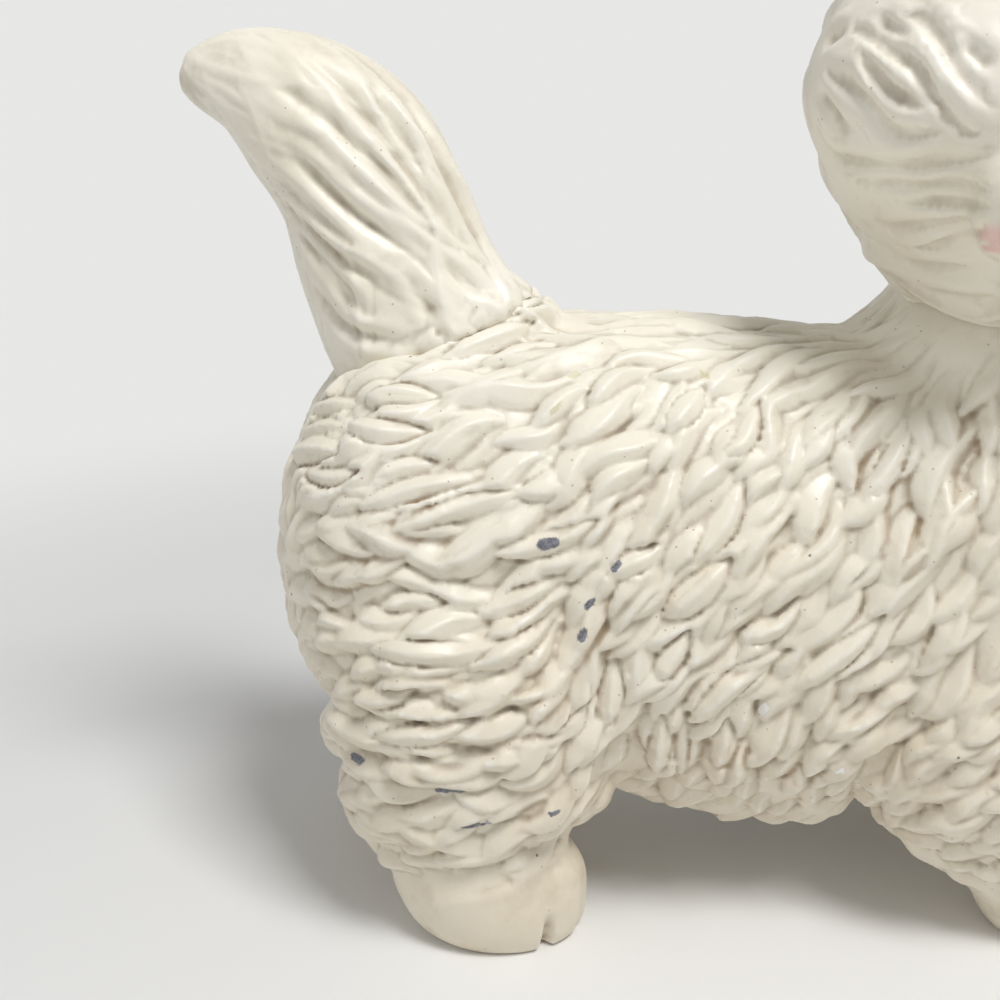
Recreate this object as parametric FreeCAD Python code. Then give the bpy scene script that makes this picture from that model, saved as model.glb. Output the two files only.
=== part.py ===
# Chalkware dog: a long-haired terrier puppy that stands with its tail up and its head turned to its right.
# Hollow plaster castings luted together over steel wires, with glass eyes, and a plug in the belly's
# pouring hole.
# Millimetres, +X towards the chest, -Y the dog's right side, +Z up, soles on Z = 0.
import FreeCAD
import Part

import math
import os

Vector = FreeCAD.Vector

# Trunk, a hollow casting made as a right and a left half
trunk_length = 219.0
back_height = 148.5
trunk_width = 94.0
shell_wall = 8.0
rump_round_length = 30.0
chest_round_length = 46.0
trunk_squareness = 2.35

# Locks cast in the skin of trunk and thighs, in leaning rows: from one row to the next, from one lock to
# the next along a row, how far the locks stand up, the height in which they rise above a leg's joint, and
# how far they lean back as they go down
lock_row_pitch = 20.0
lock_pitch = 44.0
lock_relief = 2.6
lock_rise = 14.0
lock_lean_share = 0.7

# Legs, each a solid casting below the joint with its thigh
leg_joint_height = 29.0
foot_length = 44.0
foot_width = 34.0
stance_width = 66.0
hind_foot_setback = 54.0
front_foot_to_chest = 21.0
far_hind_foot_back_step = 8.0
thigh_top_share = 0.68
tenon_diameter = 17.0
tenon_length = 11.0
tenon_taper = 1.5
tenon_hind_setback = 7.0
tenon_front_setback = 14.0
toe_spacing = 10.0
toe_groove_width = 3.6
toe_groove_depth = 5.0
toe_groove_height = 15.0

# Tail
tail_setback = 41.0
tail_base_length = 58.0
tail_base_thickness = 40.0
tail_rise = 63.0
tail_base_drop = 5.5
tail_joint_lift = 2.0
tail_joint_tilt = 24.0
tail_tenon_diameter = 19.0
tail_tenon_length = 12.0

# Neck and head
neck_to_chest = 37.0
neck_length = 60.0
neck_width = 56.0
neck_rise = 18.5
head_to_chest = 39.0
head_side_shift = 12.0
head_lift = 6.0
head_width = 123.0
head_depth = 90.0
head_height = 88.0
head_wall = 9.0
head_web = 16.0
head_turn = 66.0
head_squareness = 2.1
muzzle_width = 48.0
muzzle_height = 38.0
muzzle_reach = 25.0
nose_width = 19.0
nose_height = 14.0
nose_depth = 10.0
ear_height = 27.0
ear_width = 25.0
ear_thickness = 13.0
ear_spread = 56.0
ear_tilt = 16.0
ear_hollow_depth = 5.0
eye_diameter = 15.0
eye_thickness = 9.0
eye_proud = 3.6
eye_spacing = 38.0
eye_turn = 16.0

# Joints, wires, dowel and plug
lute_gap = 0.25
bore_gap = 0.1
wire_diameter = 3.2
wire_bend_radius = 6.0
wire_toe_length = 8.0
wire_floor_cover = 7.0
wire_thigh_length = 24.0
tail_wire_root_length = 14.0
dowel_diameter = 10.0
dowel_in_neck = 22.0
dowel_in_head = 12.0
plug_setback = 116.0
plug_diameter = 18.0
plug_taper = 1.6
plug_recess = 1.0

# How far cutting blocks run past what they cut
overrun = 60.0

# Points round an outline, and steps in each rounded end of the trunk and along its straight stretch
outline_points = 16
round_steps = 5
straight_steps = 9

# The same for the trunk's outside, which carries the locks, and steps up each thigh
lock_outline_points = 64
lock_round_steps = 9
lock_straight_steps = 28
thigh_steps = 14

# Trunk from rump to chest: place along it; back and underside as shares of the back's height; width share
trunk_shares = (
    (0.00, 0.94, 0.30, 0.90),
    (0.10, 0.97, 0.27, 0.95),
    (0.20, 0.99, 0.255, 0.98),
    (0.33, 1.00, 0.225, 1.00),
    (0.42, 1.00, 0.165, 1.00),
    (0.52, 0.99, 0.130, 1.00),
    (0.62, 0.98, 0.130, 1.01),
    (0.685, 0.98, 0.205, 1.03),
    (0.76, 0.99, 0.255, 1.06),
    (0.88, 1.00, 0.270, 1.07),
    (1.00, 0.98, 0.280, 1.02),
)

# Legs from the sole up: height as a share of the thigh's top; centre and half length as shares of the
# foot's length; lean inwards as a share of the stance; half width as a share of the foot's width
hind_leg_shares = (
    (0.00, 0.02, 0.420, 0.00, 0.41),
    (0.04, -0.01, 0.500, 0.00, 0.48),
    (0.10, -0.04, 0.540, 0.00, 0.51),
    (0.185, -0.11, 0.565, 0.00, 0.49),
    (0.27, -0.19, 0.570, 0.01, 0.49),
    (0.35, -0.15, 0.720, 0.02, 0.55),
    (0.45, -0.12, 0.770, 0.04, 0.62),
    (0.62, -0.11, 0.830, 0.06, 0.70),
    (0.80, -0.15, 0.800, 0.08, 0.66),
    (0.92, -0.18, 0.640, 0.10, 0.50),
    (1.00, -0.20, 0.400, 0.12, 0.30),
)
front_leg_shares = (
    (0.00, 0.00, 0.430, 0.00, 0.41),
    (0.04, 0.00, 0.500, 0.00, 0.48),
    (0.10, -0.03, 0.545, 0.00, 0.51),
    (0.185, -0.16, 0.660, 0.00, 0.50),
    (0.27, -0.31, 0.740, 0.01, 0.52),
    (0.35, -0.43, 0.790, 0.02, 0.57),
    (0.48, -0.47, 0.850, 0.04, 0.67),
    (0.65, -0.46, 0.870, 0.06, 0.72),
    (0.82, -0.44, 0.800, 0.08, 0.65),
    (0.94, -0.42, 0.620, 0.10, 0.48),
    (1.00, -0.42, 0.400, 0.12, 0.30),
)

# Tail from its root to its tip: centre along the body as a share of the base's length, and up as a share
# of the rise; turn of the section in degrees; length and thickness as shares of the base's
tail_shares = (
    (0.14, -0.34, 12, 0.88, 0.80),
    (0.05, -0.16, 16, 0.96, 0.95),
    (-0.02, 0.00, 20, 0.96, 1.00),
    (-0.16, 0.20, 17, 0.81, 0.90),
    (-0.25, 0.42, 18, 0.75, 0.82),
    (-0.335, 0.635, 22, 0.71, 0.75),
    (-0.465, 0.79, 32, 0.655, 0.68),
    (-0.63, 0.91, 47, 0.53, 0.57),
    (-0.79, 0.975, 62, 0.39, 0.43),
    (-0.934, 0.995, 68, 0.26, 0.29),
    (-1.02, 1.00, 70, 0.13, 0.15),
)

# Neck from inside the chest to its top: height as a share of its rise; centre and half length as shares
# of its length; half width as a share of its width
neck_shares = (
    (-2.60, -0.04, 0.62, 0.66),
    (-1.30, -0.03, 0.64, 0.72),
    (-0.55, -0.05, 0.65, 0.71),
    (-0.05, -0.06, 0.62, 0.62),
    (0.25, -0.03, 0.55, 0.55),
    (0.55, -0.01, 0.50, 0.51),
    (1.00, 0.00, 0.47, 0.47),
)

# Head from its underside up: height, then width and depth, as shares of the head's
head_shares = (
    (0.00, 0.34, 0.42),
    (0.035, 0.48, 0.58),
    (0.11, 0.60, 0.73),
    (0.22, 0.75, 0.86),
    (0.36, 0.90, 0.95),
    (0.50, 1.00, 1.00),
    (0.62, 0.98, 0.98),
    (0.74, 0.89, 0.90),
    (0.86, 0.70, 0.73),
    (0.95, 0.43, 0.47),
    (1.00, 0.19, 0.22),
)

# Muzzle from inside the head outwards: reach, then width and height, as shares of the muzzle's
muzzle_shares = (
    (-1.10, 1.12, 1.05),
    (0.00, 1.06, 1.02),
    (0.45, 0.95, 0.94),
    (0.78, 0.76, 0.76),
    (0.95, 0.50, 0.50),
    (1.00, 0.24, 0.24),
)
muzzle_rise_share = 0.28
muzzle_root_share = 0.92
nose_rise_share = 0.24

# Ear from inside the head to its tip: height, width and thickness as shares of the ear's
ear_shares = (
    (-0.60, 0.96, 1.06),
    (0.00, 1.00, 1.00),
    (0.35, 0.86, 0.84),
    (0.68, 0.58, 0.62),
    (0.90, 0.30, 0.38),
    (1.00, 0.12, 0.20),
)
ear_root_share = 0.87
eye_height_share = 0.56


def blend(rows, place):
    """Row of shares at a place between the rows, on a smooth curve through them."""
    last = len(rows) - 2
    row = max(0, min(last, sum(1 for r in rows if r[0] <= place) - 1))
    before, start, end, after = (rows[max(0, min(last + 1, row + k))] for k in (-1, 0, 1, 2))
    gap = end[0] - start[0]
    share = (place - start[0]) / gap
    out = []
    for a, b, c, d in zip(before[1:], start[1:], end[1:], after[1:]):
        slope_in = (c - a) * gap / (end[0] - before[0])
        slope_out = (d - b) * gap / (after[0] - start[0])
        out.append(
            b * (2 * share**3 - 3 * share**2 + 1)
            + slope_in * (share**3 - 2 * share**2 + share)
            + c * (3 * share**2 - 2 * share**3)
            + slope_out * (share**3 - share**2)
        )
    return out


def turned(direction, degrees, axis=Vector(0, 0, 1)):
    return FreeCAD.Rotation(axis, degrees).multVec(direction)


def closed_curve(points):
    """Smooth closed curve through points."""
    curve = Part.BSplineCurve()
    curve.interpolate(Points=points, PeriodicFlag=True, Parameters=list(range(len(points) + 1)))
    return curve


def oval_points(centre, across, up, half_across, half_up, squareness, count):
    """Points round a centre, on an ellipse at squareness 2 and on a squarer outline above it."""
    points = []
    for k in range(count):
        angle = 2 * math.pi * k / count
        cosine = math.cos(angle)
        sine = math.sin(angle)
        reach = (abs(cosine) ** squareness + abs(sine) ** squareness) ** (-1 / squareness)
        points.append(centre + across * (half_across * reach * cosine) + up * (half_up * reach * sine))
    return points


def oval(centre, across, up, half_across, half_up, squareness=2.0):
    """Closed smooth outline round a centre."""
    return closed_curve(oval_points(centre, across, up, half_across, half_up, squareness, outline_points))


def skinned(outlines):
    """Closed solid with a smooth skin through a stack of outlines that all start on the same side."""
    middles = [sum(outline.getPoles(), Vector()) / outline.NbPoles for outline in outlines]
    places = [0.0]
    for low, high in zip(middles, middles[1:]):
        places.append(places[-1] + (high - low).Length)
    runs = []
    for poles in zip(*(outline.getPoles() for outline in outlines)):
        run = Part.BSplineCurve()
        run.interpolate(Points=list(poles), Parameters=places)
        runs.append(run)
    round_way = outlines[0]
    along_way = runs[0]
    skin = Part.BSplineSurface()
    skin.buildFromPolesMultsKnots(
        [run.getPoles() for run in runs],
        round_way.getMultiplicities(),
        along_way.getMultiplicities(),
        round_way.getKnots(),
        along_way.getKnots(),
        True,
        False,
        round_way.Degree,
        along_way.Degree,
    )
    ends = [Part.Face(Part.Wire([outline.toShape()])) for outline in (outlines[0], outlines[-1])]
    shell = Part.makeShell([skin.toShape()] + ends)
    shell.sewShape()
    solid = Part.Solid(shell)
    if solid.Volume < 0:
        solid.reverse()
    return solid


def ellipsoid(centre, axes, radii):
    """Ball stretched to three radii along three square axes."""
    x, y, z = (axis * radius for axis, radius in zip(axes, radii))
    stretch = FreeCAD.Matrix(x.x, y.x, z.x, centre.x, x.y, y.y, z.y, centre.y, x.z, y.z, z.z, centre.z)
    return Part.makeSphere(1).transformGeometry(stretch)


def block(point, normal):
    """Large block on the side of a plane that its normal points to."""
    side = 2 * (trunk_length + head_width + overrun)
    solid = Part.makeBox(side, side, side, Vector(-side / 2, -side / 2, 0))
    solid.Placement = FreeCAD.Placement(point, FreeCAD.Rotation(Vector(0, 0, 1), normal))
    return solid


def peg(point, direction, base_radius, tip_radius, length):
    return Part.makeCone(base_radius, tip_radius, length, point, direction)


# Trunk


def trunk_stations(end_steps, middle_steps):
    """Places along the trunk, each with the share of its full section that its rounded ends leave."""
    straight_length = trunk_length - rump_round_length - chest_round_length
    stations = []
    for k in range(1, end_steps):
        angle = math.pi / 2 * k / end_steps
        stations.append((rump_round_length * (1 - math.cos(angle)), math.sin(angle)))
    for k in range(middle_steps + 1):
        stations.append((rump_round_length + straight_length * k / middle_steps, 1))
    for k in range(end_steps - 1, 0, -1):
        angle = math.pi / 2 * k / end_steps
        stations.append((trunk_length - chest_round_length * (1 - math.cos(angle)), math.sin(angle)))
    return stations


def trunk_section(along, roundness, inset, count):
    """Middle of the trunk's section at a place along it, and points round the section."""
    back, underside, width = blend(trunk_shares, along / trunk_length)
    half_height = back_height * (back - underside) / 2 * roundness - inset
    half_width = trunk_width / 2 * width * roundness - inset
    drawn_in = trunk_length / 2 + (along - trunk_length / 2) * (1 - 2 * inset / trunk_length)
    centre = Vector(drawn_in, 0, back_height * (back + underside) / 2)
    across = Vector(0, 1, 0)
    up = Vector(0, 0, 1)
    return centre, oval_points(centre, across, up, half_width, half_height, trunk_squareness, count)


def lock_height(along, down):
    """Height of the cast locks at a place along the trunk and a way down from its spine."""
    row = (along + lock_lean_share * down) / lock_row_pitch
    place = (down - lock_lean_share * along) / lock_pitch
    ridge = (1 + math.cos(2 * math.pi * row)) / 2
    swell = (1 + math.cos(2 * math.pi * place + math.pi * row)) / 2
    return lock_relief * (ridge * (1 + swell) / 2 - 1 / 4)


def trunk_hollow():
    """The hollow inside the trunk's wall."""
    outlines = []
    for along, roundness in trunk_stations(round_steps, straight_steps):
        outlines.append(closed_curve(trunk_section(along, roundness, shell_wall, outline_points)[1]))
    return skinned(outlines)


def trunk_form():
    """Outside of the trunk, with its locks."""
    outlines = []
    for along, roundness in trunk_stations(lock_round_steps, lock_straight_steps):
        centre, plain = trunk_section(along, roundness, 0, lock_outline_points)
        combed = []
        for point in plain:
            outward = (point - centre).normalize()
            steepness = abs(outward.z)
            down = back_height - point.z
            relief = lock_height(along, down) * roundness * (1 - steepness**4)
            combed.append(point + outward * relief)
        outlines.append(closed_curve(combed))
    return skinned(outlines)


def neck_form(grow):
    outlines = []
    for height, centre, half_length, half_width in neck_shares:
        setback = trunk_length - neck_to_chest + neck_length * centre
        middle = Vector(setback, 0, back_height + neck_rise * height)
        across = neck_width * half_width + grow
        along = neck_length * half_length + grow
        outlines.append(oval(middle, Vector(0, 1, 0), Vector(1, 0, 0), across, along))
    return skinned(outlines)


# Legs


def leg_places():
    """Name, shares of the form, place of the foot and place of the tenon for each leg."""
    places = []
    for side, side_name in ((-1, "right"), (1, "left")):
        hind = hind_foot_setback - (far_hind_foot_back_step if side > 0 else 0)
        across = side * stance_width / 2
        hind_foot = Vector(hind, across, 0)
        front_foot = Vector(trunk_length - front_foot_to_chest, across, 0)
        hind_tenon = hind_foot - Vector(tenon_hind_setback, 0, -leg_joint_height)
        front_tenon = front_foot - Vector(tenon_front_setback, 0, -leg_joint_height)
        places.append((side_name + "_hind", hind_leg_shares, hind_foot, hind_tenon))
        places.append((side_name + "_front", front_leg_shares, front_foot, front_tenon))
    return places


def leg_heights(shares):
    """The form's own heights up to the leg's joint, and finer steps from there up the thigh."""
    joint = leg_joint_height / (back_height * thigh_top_share)
    low = [row[0] for row in shares if row[0] <= joint]
    return low + [low[-1] + (1 - low[-1]) * k / thigh_steps for k in range(1, thigh_steps + 1)]


def leg_form(shares, foot):
    """One leg from its sole to the top of its thigh, which lies inside the trunk."""
    outlines = []
    for height in leg_heights(shares):
        centre, half_length, lean, half_width = blend(shares, height)
        up = back_height * thigh_top_share * height
        middle = Vector(foot.x + foot_length * centre, foot.y * (1 - lean), up)
        along = foot_length * half_length
        across = foot_width * half_width
        ways = (Vector(1, 0, 0), Vector(0, 1, 0))
        plain = oval_points(middle, *ways, along, across, 2, lock_outline_points)
        cover = max(0, min(1, (up - leg_joint_height) / lock_rise))
        combed = []
        for point in plain:
            outward = (point - middle).normalize()
            combed.append(point + outward * (lock_height(point.x, back_height - up) * cover))
        outlines.append(closed_curve(combed))
    return skinned(outlines)


def toe_grooves(foot):
    """Two clefts in the front of a foot, between its three toes."""
    toe_end = foot + Vector(foot_length / 2, 0, toe_groove_depth)
    axes = (Vector(1, 0, 0), Vector(0, 1, 0), Vector(0, 0, 1))
    radii = (toe_groove_depth, toe_groove_width / 2, toe_groove_height)
    places = [toe_end + Vector(0, side * toe_spacing / 2, 0) for side in (-1, 1)]
    return [ellipsoid(place, axes, radii) for place in places]


def leg_tenon(place, grow):
    base = tenon_diameter / 2 + grow
    return peg(place, Vector(0, 0, 1), base, base - tenon_taper, tenon_length + grow)


def leg_wire(place, grow):
    """Wire with a foot bent forwards along the toes, and a shank up through the tenon into the thigh."""
    radius = wire_diameter / 2 + grow
    floor = Vector(place.x, place.y, wire_floor_cover)
    corner_end = floor + Vector(0, 0, wire_bend_radius)
    corner_start = floor + Vector(wire_bend_radius, 0, 0)
    toe = corner_start + Vector(wire_toe_length + grow, 0, 0)
    top = Vector(place.x, place.y, leg_joint_height + wire_thigh_length + grow)
    diagonal = wire_bend_radius * (1 - math.sqrt(0.5))
    bend = Part.Arc(corner_start, floor + Vector(diagonal, 0, diagonal), corner_end)
    path = Part.Wire([
        Part.LineSegment(toe, corner_start).toShape(),
        bend.toShape(),
        Part.LineSegment(corner_end, top).toShape(),
    ])
    section = Part.Wire([Part.makeCircle(radius, toe, Vector(-1, 0, 0))])
    return path.makePipeShell([section], True, False)


def leg_casting(form, foot, place):
    casting = form.common(block(Vector(0, 0, leg_joint_height), Vector(0, 0, -1)))
    casting = casting.fuse(leg_tenon(place, 0))
    return casting.cut(toe_grooves(foot) + [leg_wire(place, bore_gap)])


# Tail


def tail_base():
    return Vector(tail_setback, 0, back_height - tail_base_drop)


def tail_form(grow):
    outlines = []
    for along, up, turn, length, thickness in tail_shares:
        centre = tail_base() + Vector(tail_base_length * along, 0, tail_rise * up)
        across = turned(Vector(1, 0, 0), -turn, Vector(0, 1, 0))
        half_length = tail_base_length * length / 2 + grow
        half_thickness = tail_base_thickness * thickness / 2 + grow
        outlines.append(oval(centre, Vector(0, 1, 0), across, half_thickness, half_length))
    return skinned(outlines)


def tail_axis():
    """Direction square to the joint between tail and rump."""
    return turned(Vector(0, 0, 1), -tail_joint_tilt, Vector(0, 1, 0))


def tail_joint():
    return tail_base() + tail_axis() * tail_joint_lift


def tail_tenon(grow):
    base = tail_tenon_diameter / 2 + grow
    return peg(tail_joint(), tail_axis() * -1, base, base - tenon_taper, tail_tenon_length + grow)


def tail_wire(grow):
    """Wire on one arc that follows the tail's middle from inside the rump to where the tip bends back."""
    below = tail_joint() - tail_axis() * (tail_wire_root_length + grow)
    points = [below]
    for along, up, _, _, _ in (tail_shares[4], tail_shares[6]):
        points.append(tail_base() + Vector(tail_base_length * along, 0, tail_rise * up))
    arc = Part.Arc(*points)
    tangent = Vector(*arc.tangent(arc.FirstParameter)[0])
    section = Part.Wire([Part.makeCircle(wire_diameter / 2 + grow, below, tangent)])
    return Part.Wire([arc.toShape()]).makePipeShell([section], True, False)


# Head


def head_place(forward, aside, up):
    """Point given forward along the face, aside to the dog's left, and up from the head's underside."""
    face = turned(Vector(1, 0, 0), -head_turn)
    left = turned(face, 90)
    base = Vector(trunk_length - head_to_chest, -head_side_shift, back_height + head_lift)
    return base + face * forward + left * aside + Vector(0, 0, up)


def head_axes():
    origin = head_place(0, 0, 0)
    return head_place(1, 0, 0) - origin, head_place(0, 1, 0) - origin


def head_form(inset):
    face, left = head_axes()
    outlines = []
    for up, width, depth in head_shares:
        drawn_in = head_height / 2 + head_height * (up - 1 / 2) * (1 - 2 * inset / head_height)
        half_width = head_width / 2 * width * (1 - 2 * inset / head_width)
        half_depth = head_depth / 2 * depth * (1 - 2 * inset / head_depth)
        middle = head_place(0, 0, drawn_in)
        outlines.append(oval(middle, left, face, half_width, half_depth, head_squareness))
    return skinned(outlines)


def muzzle_place(reach, rise):
    root = head_depth / 2 * muzzle_root_share
    up = head_height * muzzle_rise_share + muzzle_height * rise
    return head_place(root + muzzle_reach * reach, 0, up)


def muzzle_form():
    left = head_axes()[1]
    outlines = []
    for reach, width, height in muzzle_shares:
        centre = muzzle_place(reach, 0)
        half_width = muzzle_width * width / 2
        outlines.append(oval(centre, left, Vector(0, 0, 1), half_width, muzzle_height * height / 2))
    return skinned(outlines)


def nose_form():
    face, left = head_axes()
    centre = muzzle_place(1, nose_rise_share) - face * (nose_depth / 2)
    return ellipsoid(centre, (face, left, Vector(0, 0, 1)), (nose_depth, nose_width / 2, nose_height / 2))


def ear_form(side):
    """Pricked ear that leans outwards, hollowed at the front."""
    face, left = head_axes()
    rise = turned(Vector(0, 0, 1), -side * ear_tilt, face)
    across = turned(left, -side * ear_tilt, face)
    root = head_place(0, side * ear_spread / 2, head_height * ear_root_share)
    outlines = []
    for up, width, thickness in ear_shares:
        centre = root + rise * (ear_height * up)
        outlines.append(oval(centre, across, face, ear_width * width / 2, ear_thickness * thickness / 2))
    hollow_centre = root + face * (ear_thickness / 2) + rise * (ear_height / 2)
    radii = (ear_hollow_depth, ear_width / 4, ear_height / 2)
    return skinned(outlines).cut(ellipsoid(hollow_centre, (face, across, rise), radii))


def eye_seat(head, side):
    """Point on the head's surface in the middle of an eye, and the direction that the eye looks in."""
    face, left = head_axes()
    start = head_place(0, side * eye_spacing / 2, head_height * eye_height_share)
    ray = Part.makeLine(start, start + face * (head_depth + overrun))
    inside = ray.common(head)
    reach = max((vertex.Point - start).dot(face) for vertex in inside.Vertexes)
    return start + face * reach, turned(face, side * eye_turn)


def eye_form(seat, grow):
    """Glass ball with its back cut flat."""
    point, gaze = seat
    radius = eye_diameter / 2
    ball = Part.makeSphere(radius + grow, point + gaze * (eye_proud - radius))
    return ball.common(block(point + gaze * (eye_proud - eye_thickness - grow), gaze))


def neck_dowel(grow):
    foot = Vector(trunk_length - neck_to_chest, 0, back_height + neck_rise - dowel_in_neck - grow)
    length = dowel_in_neck + dowel_in_head + 2 * grow
    return Part.makeCylinder(dowel_diameter / 2 + grow, length, foot)


def head_castings():
    """Head shell and its two eyes."""
    head = head_form(0)
    head = head.fuse([muzzle_form(), nose_form(), ear_form(-1), ear_form(1)])
    seats = [eye_seat(head, side) for side in (-1, 1)]
    web_top = Vector(0, 0, back_height + neck_rise + head_web)
    hollow = head_form(head_wall).common(block(web_top, Vector(0, 0, 1)))
    sockets = [eye_form(seat, bore_gap) for seat in seats]
    shell = head.cut([hollow, neck_form(lute_gap), neck_dowel(bore_gap)] + sockets)
    return shell, eye_form(seats[0], 0), eye_form(seats[1], 0)


# Pouring hole and plug


def plug_form(grow):
    """Tapered plug set up into the belly's pouring hole."""
    _, underside, _ = blend(trunk_shares, plug_setback / trunk_length)
    mouth = Vector(plug_setback, 0, back_height * underside)
    radius = plug_diameter / 2
    seat = Vector(0, 0, plug_recess)
    if grow:
        wide = radius + plug_taper / 2 + grow
        return peg(mouth - seat, Vector(0, 0, 1), wide, radius - plug_taper / 2 + grow, 2 * shell_wall)
    wide = radius + plug_taper / 2 * (1 - plug_recess / shell_wall)
    return peg(mouth + seat, Vector(0, 0, 1), wide, radius - plug_taper / 4, shell_wall - plug_recess)


# Body shells


def body_castings(legs):
    """Right and left half of the trunk with its thighs, neck and the collar round the tail."""
    above_joint = block(Vector(0, 0, leg_joint_height), Vector(0, 0, 1))
    thighs = [form.common(above_joint) for form in legs.values()]
    collar = tail_form(0).common(block(tail_joint(), tail_axis() * -1))
    tail_seat = tail_form(lute_gap).common(block(tail_joint(), tail_axis()))
    body = trunk_form().fuse(thighs + [collar, neck_form(0)])
    hollow = trunk_hollow().cut(thighs + [collar])
    cuts = [hollow, tail_seat, tail_tenon(lute_gap), tail_wire(bore_gap)]
    cuts += [neck_dowel(bore_gap), plug_form(lute_gap)]
    for _, _, _, place in leg_places():
        cuts += [leg_tenon(place, lute_gap), leg_wire(place, bore_gap)]
    body = body.cut(cuts)
    right = body.common(block(Vector(0, 0, 0), Vector(0, -1, 0)))
    left = body.common(block(Vector(0, 0, 0), Vector(0, 1, 0)))
    return right, left


def tail_casting():
    tail = tail_form(0).common(block(tail_joint(), tail_axis()))
    return tail.fuse(tail_tenon(0)).cut(tail_wire(bore_gap))


def figure():
    pieces = {}
    legs = {name: leg_form(shares, foot) for name, shares, foot, _ in leg_places()}
    pieces["right_body_shell"], pieces["left_body_shell"] = body_castings(legs)
    pieces["belly_plug"] = plug_form(0)
    for name, _, foot, place in leg_places():
        pieces[name + "_leg"] = leg_casting(legs[name], foot, place)
        pieces[name + "_wire"] = leg_wire(place, 0)
    pieces["tail_casting"] = tail_casting()
    pieces["tail_wire"] = tail_wire(0)
    pieces["head_shell"], pieces["right_eye"], pieces["left_eye"] = head_castings()
    pieces["neck_dowel"] = neck_dowel(0)
    return pieces


def centred(pieces):
    """The same pieces with the middle of their whole box over the origin."""
    box = Part.makeCompound(list(pieces.values())).optimalBoundingBox(False, False)
    middle = Vector(-box.Center.x, -box.Center.y, 0)
    return {name: piece.translated(middle) for name, piece in pieces.items()}, middle


os.makedirs("parts", exist_ok=True)
placed, moved = centred(figure())
print("moved to the middle by", round(moved.x, 3), round(moved.y, 3))
for node, piece in placed.items():
    print(node, "solids", len(piece.Solids), "volume", round(piece.Volume), "sound", piece.isValid())
    piece.exportStep("parts/" + node + ".step")
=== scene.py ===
import math

import bmesh
import bpy
import numpy as np
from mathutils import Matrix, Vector
from mathutils.bvhtree import BVHTree


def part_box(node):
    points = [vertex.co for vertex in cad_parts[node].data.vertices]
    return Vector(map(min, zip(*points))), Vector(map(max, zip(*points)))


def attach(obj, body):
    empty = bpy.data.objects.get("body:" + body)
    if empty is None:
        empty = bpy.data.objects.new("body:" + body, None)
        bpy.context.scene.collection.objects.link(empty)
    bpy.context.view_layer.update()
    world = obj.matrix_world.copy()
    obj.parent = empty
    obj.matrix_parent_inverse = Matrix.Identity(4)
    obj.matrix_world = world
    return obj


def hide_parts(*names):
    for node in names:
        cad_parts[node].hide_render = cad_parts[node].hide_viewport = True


# Everything is in metres. MM turns the maker's millimetres into metres.
MM = 0.001

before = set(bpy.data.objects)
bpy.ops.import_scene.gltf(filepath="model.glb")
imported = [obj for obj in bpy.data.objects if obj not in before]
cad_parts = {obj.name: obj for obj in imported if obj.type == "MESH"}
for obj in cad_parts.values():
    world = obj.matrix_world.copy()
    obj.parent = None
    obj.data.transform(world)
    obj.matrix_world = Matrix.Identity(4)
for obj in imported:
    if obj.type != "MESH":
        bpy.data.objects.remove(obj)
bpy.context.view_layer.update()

# Places taken from the frame, and where the belly's low part ends
seam_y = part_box("right_body_shell")[1].y
leg_tenon_length = 11.0 * MM
leg_joint_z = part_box("right_hind_leg")[1].z - leg_tenon_length
leg_joint_reach = 4 * MM
hind_legs_end_x = -33.0 * MM
front_legs_start_x = 35.5 * MM
low_belly_end_x = 40.0 * MM
low_belly_half_width = 21.0 * MM
BODY_NODES = ("right_body_shell", "left_body_shell", "belly_plug",
              "right_hind_leg", "left_hind_leg", "right_front_leg", "left_front_leg")

# The photograph's camera. Its place across the dog is measured from the mould seam.
picture_size = 1000
lens_mm = 45.0
sensor_mm = 36.0
camera_pitch = math.radians(18.0)
camera_place = Vector((-56.184 * MM, seam_y - 304.34 * MM, 200.75 * MM))
camera_ahead = Vector((0.0, math.cos(camera_pitch), -math.sin(camera_pitch)))
camera_up = Vector((0.0, math.sin(camera_pitch), math.cos(camera_pitch)))
camera_right = Vector((1.0, 0.0, 0.0))
focal_pixels = picture_size * lens_mm / sensor_mm

# The head's own axes: forward along the face, aside to the dog's left, and up
head_turn = math.radians(66.0)
head_base = np.array((69.816 * MM, seam_y - 12.0 * MM, 154.5 * MM))
head_forward = np.array((math.cos(head_turn), -math.sin(head_turn), 0.0))
head_aside = np.array((math.sin(head_turn), math.cos(head_turn), 0.0))
head_up = np.array((0.0, 0.0, 1.0))
HEAD_AXES = (head_forward, head_aside, head_up)

# The skins under the coat, and the share of faces kept once they are carved
skin_swell = 0.3 * MM
body_grain = 1.3 * MM
head_grain = 1.35 * MM
tail_grain = 1.3 * MM
skin_smoothing = 6
body_share_kept = 0.56
head_share_kept = 0.7
weld_reach = MM / 1000

# The coat: its roots, how far each lock wanders from the lie, and how it rises
coat_seed = 7
lock_steps = 9
lock_spacing = 5.9 * MM
root_density = 2.2
least_coat = 0.08
lock_reach = (0.7, 1.2)
lock_girth = (0.5, 0.84)
lock_wave = 0.4
lock_wave_turns = 0.8
lock_stray = 0.16
lock_heel = (-0.3, 0.1)
lobes_per_lock = 8.5
strand_points = 20
profile_points = 24
LOCK_LIFT = ((0, 0.0), (0.4, 0.35), (0.8, 0.8), (1, 0.72))
LOCK_FULLNESS = ((0, 0.3), (0.25, 0.8), (0.5, 1.0), (0.75, 0.74), (0.9, 0.38), (1, 0.03))
ray_start = 9.0 * MM
lowest_rise = -0.4 * MM


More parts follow.
